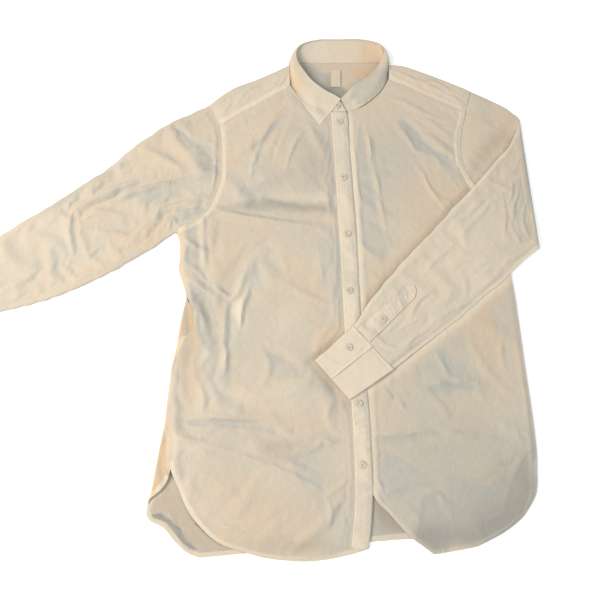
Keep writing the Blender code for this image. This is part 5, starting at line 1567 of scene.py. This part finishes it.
def spiralCuff(depthSteps=46):
    centre = []
    low, high = (np.array(row) for row in leftCuff["rows"])
    upper, lower = leftCuff["upperTop"] / 2, leftCuff["lowerTop"] / 2
    for part in np.linspace(0, 1, depthSteps + 1):
        startX, startY, stopX, stopY, middle = low + (high - low) * part
        width = math.hypot(stopX - startX, stopY - startY)
        path = [(a, leftCuff["upperTop"]) for a in np.linspace(width * leftCuff["lap"], upper, 26)]
        near, far = np.linspace(0, math.pi, 12)[1:], np.linspace(0, math.pi, 10)[1:]
        path += [(upper - upper * math.sin(t), upper + upper * math.cos(t)) for t in near]
        path += [(a, 0) for a in np.linspace(upper, width - lower, 26)[1:]]
        path += [(width - lower + lower * math.sin(t), lower - lower * math.cos(t)) for t in far]
        tuck = width * leftCuff["tuck"]
        path += [(a, leftCuff["lowerTop"]) for a in np.linspace(width - lower, tuck, 40)[1:]]
        run = np.array((stopX - startX, stopY - startY)) / width
        centre.append([(startX + run[0] * a, startY + run[1] * a, middle + z) for a, z in path])
    return np.array(centre)


centre = spiralCuff()
across, down = sheetLengths(centre)
normal = outwardNormals(centre, 10, 5)
wide, deep = across[:, -1:], down[-1:, :]
border = np.minimum(np.minimum(across, wide - across), np.minimum(down, deep - down))
relief = crumpled(across, down, ((17, 0.9, 111, 0.3, 1.6), (8, 0.35, 112)))
relief = (relief - groove(border, 4.6, 1.1, 0.45)) * ramp(border, -1, 1.5)
cuffTop = centre + normal * (0.7 + relief[:, :, None])
leftCuffPiece = buildSheet(
    "left_cuff", cuffTop, 1.25, clothDoubled, layers=0.7 + 0.3 * ramp(border, 6, 4), up=(10, 5)
)
print("cuffs are made")

# what lies on top of what


def treeOf(*pieces):            # for finding the top of pieces that are already made
    corners, faces = [], []
    for piece in pieces:
        start = len(corners)
        corners += [vert.co.copy() for vert in piece.data.vertices]
        faces += [[start + v for v in polygon.vertices] for polygon in piece.data.polygons]
    return BVHTree.FromPolygons(corners, faces)


def topOf(tree, x, y, start=60.0, missing=0.0):
    # with a whole number for missing, as in the stitching, heights are cut to whole millimetres
    down = Vector((0, 0, -1))
    heights = np.full(x.size, missing)
    for i, (a, b) in enumerate(zip(x.ravel(), y.ravel())):
        hit = tree.ray_cast(inScene(a, b, start), down)[0]
        if hit is not None:
            heights[i] = hit.z / millimetre
    return heights.reshape(x.shape)


# sleeve placket
# left edge x y, right edge x y; from the cuff to the point
sleevePlacketRows = (
    (228.9, -71.3, 246.7, -92.5),
    (252.8, -49.9, 269.1, -71.3),
    (275.3, -30.1, 290.8, -49.9),
    (298.0, -10.1, 311.8, -29.3),
    (307.7, -0.5, 321.6, -19.7),
    (320.4, -2.1, 323.4, -8.5),
)
lengths = np.array((0, 0.28, 0.56, 0.84, 0.95, 1.0)) * 78
places = np.linspace(0, 78, 79)
rows = np.column_stack([np.interp(places, lengths, column) for column in zip(*sleevePlacketRows)])
share = np.linspace(0, 1, 25)
x = rows[:, 0:1] + (rows[:, 2:3] - rows[:, 0:1]) * share
y = rows[:, 1:2] + (rows[:, 3:4] - rows[:, 1:2]) * share
forearmTree = treeOf(leftSleevePiece)
below = soften(topOf(forearmTree, x, y), 14)
flatGrid = np.dstack((x, y, np.zeros_like(x)))
across, down = sheetLengths(flatGrid)
border = np.minimum(np.minimum(across, across[:, -1:] - across), down[-1:, :] - down)
ripple = np.sin((down + 0.35 * across) / 7.5 * math.tau + 2 * wander(x, y, 24, 121))
ripple = ripple * (0.65 + 0.35 * wander(x, y, 18, 122))
bits = facets(down, across, 13, 1.0, 123, 0.35, 0.5)
relief = 0.25 * ripple + 1.2 * bits
relief = relief * ramp(border, -1, 3) - groove(border, 3.4, 0.9, 0.4)
sleevePlacketTop = np.dstack((x, y, np.maximum(below, topOf(forearmTree, x, y)) + 1.7 + relief))
# painted light and shade on the puckers: crests lighter and warmer, hollows darker and greyer
puckerPaintedLight = 0.5 + 0.5 * np.tanh(2.2 * (0.25 * ripple + bits))
sleevePlacketPiece = buildSheet(
    "sleeve_placket_band", sleevePlacketTop, 1.3, clothDoubledShaded,
    layers=0.3 + 0.7 * puckerPaintedLight, warmthAndPaintedLight=0.1 + 0.7 * puckerPaintedLight,
)

# button placket
edge = evenly(placketLine, 300)
across = np.linspace(0, placketWidth, 21)
x = edge[:, 0:1] + across
y = np.repeat(edge[:, 1:2], 21, axis=1) + 5.5 * ramp(edge[:, 1:2], 270, 288)
y = y - 0.09 * across * (edge[:, 1:2] < edge[-30, 1])
below = topOf(treeOf(rightFrontPiece, leftFrontPiece), x, y)
below = np.maximum(below, 5.0 - 1.0 * ramp(across, 15, 26))
flatGrid = np.dstack((x, y, np.zeros_like(x)))
across, down = sheetLengths(flatGrid)
border = np.minimum(across, across[:, -1:] - across)
tug = wander(x, y, 90, 131)
wedges = facets(across, down, 16, 1.0, 132, 0.25, 2.0)
relief = 1.5 * wedges + facets(across, down, 8, 0.3, 133)
ripple = np.sin((down + 0.3 * across) / 11.5 * math.tau + 4.0 * wander(x, y, 60, 134))
relief += 0.28 * ripple * np.clip(0.3 + tug, 0, 1)
relief = relief * ramp(border, -3, 6) - groove(border, 4.8, 1.1, 0.4)
height = soften(below, 3) - 1.2 * ramp(y, 289, 292) + 1.35 - 0.7 * ramp(border, 3, 0)
height = height + np.maximum(relief, -0.5)
# painted light and shade: lighter and warmer on the raised wedges and where the cloth leans towards the key
# light
tone = 0.5 + 0.45 * wedges + 2.0 * lean(x, y, height)
placketPiece = buildSheet(
    "button_placket", np.dstack((x, y, height)), 1.2, clothDoubledShaded,
    layers=np.clip(0.58 + 0.45 * tone, 0.3, 1), warmthAndPaintedLight=tone,
)
print("plackets are made")

# collar
standRows = (
    (196, 293, 3.0, 195, 309, 4.8), (217, 293.5, 3.2, 212, 312, 6.2), (236, 299, 3.4, 228, 329, 9.5),
    (257, 313, 4.2, 253, 346, 11.5), (276, 332, 5.0, 268, 363, 13.5), (284, 352, 5.6, 279, 380, 14.5),
    (282, 370, 4.0, 276, 396, 15.0), (272, 378.2, 2.4, 266, 407, 14.5), (243, 379, 1.4, 240, 412, 14.0),
    (206, 379, 1.4, 205, 412.5, 14.0), (168, 379, 1.4, 170, 411.5, 14.0), (138, 378.2, 2.4, 144, 404, 14.5),
    (127, 370, 4.0, 134, 391, 15.0), (125, 352, 5.6, 134, 375, 14.5), (130, 335, 5.8, 143, 359, 13.5),
    (144, 317, 5.8, 158, 340, 12.0), (163, 303, 5.6, 178, 325, 10.5), (189, 293.5, 5.7, 196, 315, 9.6),
    (215, 291, 6.0, 209, 306, 8.6),
)
leafRows = (
    (208, 309, 9.9, 216, 296, 8.7, 223, 283, 7.0), (228, 330, 12.2, 233, 314, 11.2, 239, 299, 6.9),
    (254, 347, 14.0, 261, 334, 12.6, 267, 320, 6.9), (270, 365, 16.0, 278, 354, 14.6, 282, 342, 7.2),
    (280, 382, 16.8, 286, 377, 16.0, 289, 367, 9.0), (278, 396, 17.0, 285, 396, 14.0, 286, 384, 4.6),
    (267, 407.5, 16.4, 275, 415, 8.0, 271, 388, 1.6), (241, 413.5, 15.6, 242, 424, 4.0, 241, 384, 1.2),
    (205, 414, 15.6, 205, 424, 4.0, 205, 384, 1.2), (169, 413, 15.6, 168, 424, 4.0, 169, 384, 1.2),
    (143, 405, 16.4, 136, 412, 8.0, 139, 388, 1.6), (132, 392, 17.0, 125, 392, 14.0, 124, 382, 4.6),
    (132, 376, 16.8, 124, 371, 16.0, 119, 363, 9.0), (141, 360, 16.0, 131, 352, 15.0, 122, 343, 9.0),
    (157, 340, 14.4, 145, 332, 13.2, 132, 323, 9.2), (177, 325, 12.4, 165, 310, 11.6, 151, 295, 9.0),
    (194, 316, 11.0, 181, 298, 10.0, 165, 277, 8.4), (205.5, 309, 10.3, 188, 288, 9.4, 172, 267, 8.2),
)
rows = evenly(standRows, 230)
fromEnd = np.concatenate(([0], np.cumsum(np.linalg.norm(np.diff(rows[:, :3], axis=0), axis=1))))
roundOff = np.sqrt(np.clip(1 - (1 - np.clip(fromEnd[::-1] / 11.0, 0, 1)) ** 2, 0.02, 1))
share = np.linspace(0, 1, 19)[None, :, None] * roundOff[:, None, None]
centre = rows[:, None, :3] * (1 - share) + rows[:, None, 3:] * share
across, down = sheetLengths(centre)
border = np.minimum(across, across[:, -1:] - across)
relief = crumpled(down, across, ((19, 0.45, 141, 1.5, 1.6), (9, 0.2, 142))) - groove(border, 3.2, 0.9, 0.3)
x, y = centre[:, :, 0], centre[:, :, 1]
# painted light and shade on the stand: shade inside it on the wearer's right, warm light inside it on the
# wearer's left and at the back; its paleness is lowered towards the back and the wearer's left so that they
# show
standTones = ((140, 384, 24, 40, -1.1), (268, 378, 40, 50, 2.0), (215, 392, 50, 20, 0.9))
standTop = centre - normalsOf(centre) * (relief * ramp(border, 0, 3))[:, :, None]
standPiece = buildSheet(
    "neck_stand", standTop, 0.9, clothDoubledShaded,
    layers=0.8 - 0.1 * ramp(np.hypot(x - 215, y - 300), 60, 90) - 0.5 * ramp(x, 225, 255),
    warmthAndPaintedLight=np.clip(paintedPatchesOf(x, y, standTones), 0, 1.6), centred=True,
)

rows = evenly(leafRows, 250)
share = np.linspace(0, 1, 37)[None, :, None]
inward = rows[:, 0:2] - rows[:, 3:5]
rows[:, 0:2] += 2.2 * inward / np.linalg.norm(inward, axis=1, keepdims=True)
centre = rows[:, None, 0:3] * (1 - share) ** 2 + rows[:, None, 3:6] * 2 * share * (1 - share)
centre = centre + rows[:, None, 6:9] * share**2
lying = treeOf(rightFrontPiece, leftFrontPiece, yokeSheet, placketPiece, standPiece)
resting = topOf(lying, centre[:, :, 0], centre[:, :, 1], missing=99.0) + 0.35
fromEnds = np.minimum(np.arange(251), np.arange(251)[::-1])[:, None] * 1.3
fall = share[:, :, 0]
lowered = np.maximum(ramp(fall, 0.4, 0.95), ramp(fall, 0.0, 0.5) * ramp(fromEnds, 50, 16))
lowered = lowered * soften(np.minimum(resting - centre[:, :, 2], 0), 14)
centre[:, :, 2] += lowered - 0.5 * ramp(fall, 0.92, 1.0)
across, down = sheetLengths(centre)
whole = down[-1:, :]
border = np.minimum(across[:, -1:] - across, np.minimum(down, whole - down))
normal = outwardNormals(centre, 5, 8)
relief = crumpled(down, across, ((26, 0.8, 151, 0.4, 1.3), (12, 0.35, 152)))
relief += 0.3 * np.sin(down / 11 * math.tau + 3 * wander(down, across, 50, 153)) * ramp(border, 12, 4)
relief = relief * ramp(border, 0, 7) * ramp(across, 0, 6) - groove(border, 5.0, 1.1, 0.35)
x, y = centre[:, :, 0], centre[:, :, 1]
leafTop = centre + normal * (0.4 + relief)[:, :, None]
# painted light and shade on the collar leaf: warm and less pale at the wearer's right, grey and less pale at
# the front end on the wearer's left, which lies in shade
leftEnd = ramp(x, 216, 232) * ramp(y, 372, 352)
leafTone = 0.62 + 0.9 * ramp(x, 160, 130) * ramp(y, 390, 330) - 0.85 * leftEnd
leafLayersAndPaintedLight = 0.7 + 0.25 * ramp(border, 6, 4) - 0.45 * leftEnd - 0.6 * ramp(x, 160, 130)
leafPiece = buildSheet(
    "collar_fall", leafTop, 0.8, clothDoubledShaded, layers=leafLayersAndPaintedLight, warmthAndPaintedLight=leafTone, up=(5, 8)
)
print("collar is made")

# label
label = {"x": 199.0, "y": 351.0, "width": 16.0, "length": 30.0, "lift": 2.8, "thickness": 0.5}
x, y = np.meshgrid(
    label["x"] + np.linspace(-0.5, 0.5, 15) * label["width"],
    label["y"] + np.linspace(0.5, -0.5, 27) * label["length"],
)
down = (label["y"] + label["length"] / 2 - y) / label["length"]
lift = label["lift"] + 0.5 * np.sin(down * math.pi) + 0.25 * np.sin((x - label["x"]) / 5 + down * 4)
buildSheet("neck_tape", np.dstack((x, y, lift)), label["thickness"], tapeMaterial, layers=np.ones(x.shape))
print("label is made")

# buttons
buttonShape = {
    "plate": 3.8, "hole": 0.62, "reach": 1.05, "plateTop": 1.2, "plateUnder": 0.55, "sides": 32,
    "raise": 0.15, "threadRise": 1.6, "thread": 0.36,
    "profile": (
        (3.8, 1.2), (4.05, 1.55), (4.45, 1.78), (4.9, 1.74), (5.3, 1.48), (5.5, 1.1), (5.42, 0.7),
        (5.1, 0.3), (4.6, 0.08), (4.1, 0.1), (3.8, 0.55),
    ),
}


def makeButton(name, x, y, z, turn):
    shape = buttonShape
    mesh = bmesh.new()
    bmesh.ops.create_circle(mesh, segments=shape["sides"], radius=shape["plate"])
    for sideX, sideY in ((-1, -1), (1, -1), (1, 1), (-1, 1)):
        spot = Matrix.Translation((sideX * shape["reach"], sideY * shape["reach"], 0))
        bmesh.ops.create_circle(mesh, segments=10, radius=shape["hole"], matrix=spot)
    bmesh.ops.triangle_fill(mesh, edges=mesh.edges[:], use_beauty=True, use_dissolve=False)
    bmesh.ops.translate(mesh, verts=mesh.verts, vec=(0, 0, shape["plateUnder"]))
    raised = bmesh.ops.extrude_face_region(mesh, geom=mesh.faces[:], use_keep_orig=True)
    lifted = [item for item in raised["geom"] if isinstance(item, bmesh.types.BMVert)]
    bmesh.ops.translate(mesh, verts=lifted, vec=(0, 0, shape["plateTop"] - shape["plateUnder"]))
    rim = shape["plate"] - 0.05
    walls = [
        face for face in mesh.faces
        if all(vert.co.xy.length > rim for vert in face.verts) and abs(face.normal.z) < 0.5
    ]
    bmesh.ops.delete(mesh, geom=walls, context="FACES")
    line = [mesh.verts.new((r, 0, h)) for r, h in shape["profile"]]
    edges = [mesh.edges.new(pair) for pair in zip(line[:-1], line[1:])]
    bmesh.ops.spin(
        mesh, geom=line + edges, cent=(0, 0, 0), axis=(0, 0, 1), dvec=(0, 0, 0), angle=math.tau,
        steps=shape["sides"], use_merge=True, use_duplicate=False,
    )
    bmesh.ops.remove_doubles(mesh, verts=mesh.verts, dist=0.02)
    bmesh.ops.recalc_face_normals(mesh, faces=mesh.faces)
    place = Matrix.Translation(inScene(x, y, z))
    place = place @ Matrix.Rotation(turn, 4, "Z") @ Matrix.Scale(millimetre, 4)
    bmesh.ops.transform(mesh, verts=mesh.verts, matrix=place)
    return finishPiece(name, mesh, pearlMaterial, 40)


threads = bmesh.new()


def addThread(start, stop, radius):
    start, stop = Vector(start), Vector(stop)
    run = stop - start
    middle = (start + stop) / 2 - Vector((*blouseMiddle, 0))
    place = Matrix.Translation(middle * millimetre) @ run.to_track_quat("Z", "Y").to_matrix().to_4x4()
    wide = radius * millimetre
    bmesh.ops.create_cone(
        threads, cap_ends=True, segments=5, radius1=wide, radius2=wide,
        depth=run.length * millimetre, matrix=place,
    )


buttonSpots = (
    (204.0, 273.3), (210.0, 177.5), (215.1, 83.4), (217.9, -8.9), (224.1, -98.7), (230.8, -186.1),
    (235.2, -278.9),
)
placketTree = treeOf(placketPiece)
cuffTree = treeOf(leftCuffPiece)
sleevePlacketTree = treeOf(sleevePlacketPiece)


def seatedHeight(tree, x, y, reach=4.6):
    turns = np.linspace(0, math.tau, 12, endpoint=False)
    ringX, ringY = x + reach * np.cos(turns), y + reach * np.sin(turns)
    return float(topOf(tree, ringX, ringY).max())


def cuffPlace(across, along):
    low, high = (np.array(row) for row in leftCuff["rows"])
    row = low + (high - low) * along
    return row[0] + (row[2] - row[0]) * across, row[1] + (row[3] - row[1]) * across


cuffButton = cuffPlace(0.22, 0.34)
sleeveButton = (269.7, -54.7)
buttonPieces = {}
for number, (bx, by) in enumerate(buttonSpots, 1):
    buttonPieces[f"button_{number}"] = (bx, by, seatedHeight(placketTree, bx, by), 0.3 * number)
buttonPieces["button_cuff"] = (*cuffButton, seatedHeight(cuffTree, *cuffButton), 0.5)
buttonPieces["button_sleeve"] = (*sleeveButton, seatedHeight(sleevePlacketTree, *sleeveButton), 0.2)
buttonPieces["button_stand"] = (200.6, 300.4, 7.9, 0.1)
for name, (bx, by, bz, turn) in buttonPieces.items():
    piece = makeButton(name.replace("button", "pearl_button"), bx, by, bz + buttonShape["raise"], turn)
    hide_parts(name)
    c, s = math.cos(turn) * buttonShape["reach"], math.sin(turn) * buttonShape["reach"]
    rise = bz + buttonShape["threadRise"]
    for side in (-1, 1):
        one = (bx + c - s * side, by + s + c * side, rise)
        two = (bx - c - s * side, by - s + c * side, rise)
        addThread(one, two, buttonShape["thread"])
print("buttons are made")

# stitching


stitches = {"pitch": 2.9, "length": 2.1, "radius": 0.24, "sink": 0.05, "step": 1.2}
buttonhole = {"width": 1.25, "pitch": 0.85, "gap": 0.35, "radius": 0.26, "rise": 0.1}
seamInset = {"placket": 4.8, "armhole": 8.8, "hem": 6.2, "collar": 4.8, "sleevePlacket": 3.4, "yoke": 7.0}


def stitchLine(tree, path):     # stitches follow the cloth, and are left out where it drops away
    path = np.asarray(path, float)
    pitch, length, radius = stitches["pitch"], stitches["length"], stitches["radius"]
    rise = radius - stitches["sink"]
    steps = np.concatenate(([0], np.cumsum(np.linalg.norm(np.diff(path[:, :2], axis=0), axis=1))))
    places = np.arange(pitch, steps[-1] - pitch, pitch)
    starts = np.column_stack([np.interp(places, steps, path[:, i]) for i in (0, 1)])
    stops = np.column_stack([np.interp(places + length, steps, path[:, i]) for i in (0, 1)])
    startZ = topOf(tree, starts[:, 0], starts[:, 1], missing=-99)
    stopZ = topOf(tree, stops[:, 0], stops[:, 1], missing=-99)
    for a, b, za, zb in zip(starts, stops, startZ, stopZ):
        if za > -50 and zb > -50 and abs(za - zb) < stitches["step"]:
            addThread((*a, za + rise), (*b, zb + rise), radius)


def offsetLine(path, distance):
    path = np.asarray(path, float)
    run = np.gradient(path, axis=0)
    run /= np.linalg.norm(run, axis=1, keepdims=True)
    return path + np.column_stack((-run[:, 1], run[:, 0])) * distance


edge = evenly(placketLine, 200)
for inset in (seamInset["placket"], placketWidth - seamInset["placket"]):
    stitchLine(placketTree, edge + np.array((inset, 0)))
rightTree, leftTree = treeOf(rightFrontPiece), treeOf(leftFrontPiece)
rightEdge = rightFrontTop[:, 0, :2]
stitchLine(rightTree, offsetLine(rightEdge[rightEdge[:, 1] > 96], seamInset["armhole"]))
rightHem = np.concatenate((rightEdge[rightEdge[:, 1] < -282], rightFrontTop[-1, 1:, :2]))
stitchLine(rightTree, offsetLine(rightHem, seamInset["hem"]))
leftEdge = leftFrontTop[:, -1, :2]
stitchLine(leftTree, offsetLine(leftEdge[leftEdge[:, 1] > 134], -seamInset["armhole"]))
leftHem = np.concatenate((leftFrontTop[:, 0, :2][leftFrontTop[:, 0, 1] < -240], leftFrontTop[-1, 1:, :2]))
stitchLine(leftTree, offsetLine(leftHem, seamInset["hem"]))
leafTree = treeOf(leafPiece)
leafEdge = evenly([row[6:8] for row in leafRows], 160)
stitchLine(leafTree, offsetLine(leafEdge, -seamInset["collar"]))
for row, side in ((leafRows[0], 1), (leafRows[-1], -1)):
    stitchLine(leafTree, offsetLine(evenly((row[0:2], row[6:8]), 20), side * seamInset["collar"]))
cuffSeams = (
    ((0.05, 0.06), (0.95, 0.06)), ((0.05, 0.94), (0.95, 0.94)), ((0.05, 0.06), (0.05, 0.94)),
    ((0.95, 0.06), (0.95, 0.94)), ((0.42, 0.06), (0.42, 0.94)),
)
for low, high in cuffSeams:
    stitchLine(cuffTree, evenly((cuffPlace(*low), cuffPlace(*high)), 20))
bandEdges = np.array(sleevePlacketRows)
stitchLine(sleevePlacketTree, offsetLine(bandEdges[:, 0:2], -seamInset["sleevePlacket"]))
stitchLine(sleevePlacketTree, offsetLine(bandEdges[:, 2:4], seamInset["sleevePlacket"]))
yokeTree = treeOf(yokeSheet)
seam = yokeTop[-1, :, :2]
for part in (seam[:neckGap[0] - 1], seam[neckGap[-1] + 2:]):
    stitchLine(yokeTree, offsetLine(part, seamInset["yoke"]))


def addButtonhole(tree, x, y, direction, length):
    pitch = buttonhole["pitch"]
    run = np.array((math.cos(direction), math.sin(direction)))
    side = np.array((-run[1], run[0]))
    for along in np.arange(-length / 2, length / 2 + 0.1, pitch):
        end = abs(along) > length / 2 - pitch
        for hand in (-1, 1):
            inner = np.array((x, y)) + run * along + side * hand * (0.0 if end else buttonhole["gap"])
            outer = np.array((x, y)) + run * along + side * hand * buttonhole["width"]
            rise = topOf(tree, *np.column_stack((inner, outer)), missing=-99)
            if rise.min() > -50:
                innerZ, outerZ = rise + buttonhole["rise"]
                addThread((*inner, innerZ), (*outer, outerZ), buttonhole["radius"])


for bx, by in buttonSpots:
    addButtonhole(placketTree, bx, by, math.radians(91.5), 14.5)
aroundCuff = math.atan2(-180 + 120, 216 - 163)
addButtonhole(cuffTree, *cuffButton, aroundCuff, 14.0)
addButtonhole(cuffTree, 194.5, -120.6, aroundCuff, 13.0)
threadPiece = finishPiece("stitching", threads, threadMaterial, 60)
print("stitching is made")

# what each piece replaces, and what it was cut to
frontButtons = ["pearl_button_%d" % number for number in range(1, 8)]
# node, width and length of the cut, its area where it isn't a rectangle,
# how it lies, on what, and what is on it
cuts = {
    "right_front": ("front_right", (0.270, 0.800), 0.196, "laid", ("back_panel", "left_front"), ()),
    "left_front": ("front_left", (0.275, 0.785), 0.179, "laid", ("back_panel",), ()),
    "back_panel": ("back", (0.600, 0.765), 0.345, "laid", ("floor",), ()),
    "shoulder_yoke": ("yoke", (0.460, 0.140), 0.052, "folded", ("floor",), ()),
    "right_sleeve": ("sleeve_right", (0.370, 0.470), 0.140, "laid", ("floor",), ()),
    "left_sleeve": ("sleeve_left", (0.370, 0.500), 0.137, "folded", ("left_front", "button_placket"), ()),
    "right_cuff": ("cuff_right", (0.185, 0.083), None, "laid", ("floor",), ()),
    "left_cuff": (
        "cuff_left", (0.200, 0.082), None, "folded", ("button_placket", "right_front"),
        ("pearl_button_cuff",),
    ),
    "sleeve_placket_band": (
        "sleeve_placket", (0.027, 0.115), None, "laid", ("left_sleeve",), ("pearl_button_sleeve",),
    ),
    "button_placket": ("placket", (0.029, 0.705), None, "laid", ("right_front",), frontButtons),
    "neck_stand": (
        "collar_stand", (0.029, 0.430), None, "folded", ("shoulder_yoke",), ("pearl_button_stand",),
    ),
    "collar_fall": ("collar_leaf", (0.034, 0.425), None, "folded", ("neck_stand", "shoulder_yoke"), ()),
    "neck_tape": ("neck_label", (0.016, 0.031), None, "laid", ("shoulder_yoke",), ()),
}
for name, (node, flat, area, held, below, holding) in cuts.items():
    piece = madePieces[name]
    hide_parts(node)
for name in cuts:
    doubledPiece = name in (
        "button_placket", "neck_stand", "collar_fall", "left_cuff", "sleeve_placket_band"
    )
    "label_tape" if name == "neck_tape" else "doubled_poplin" if doubledPiece else "poplin"
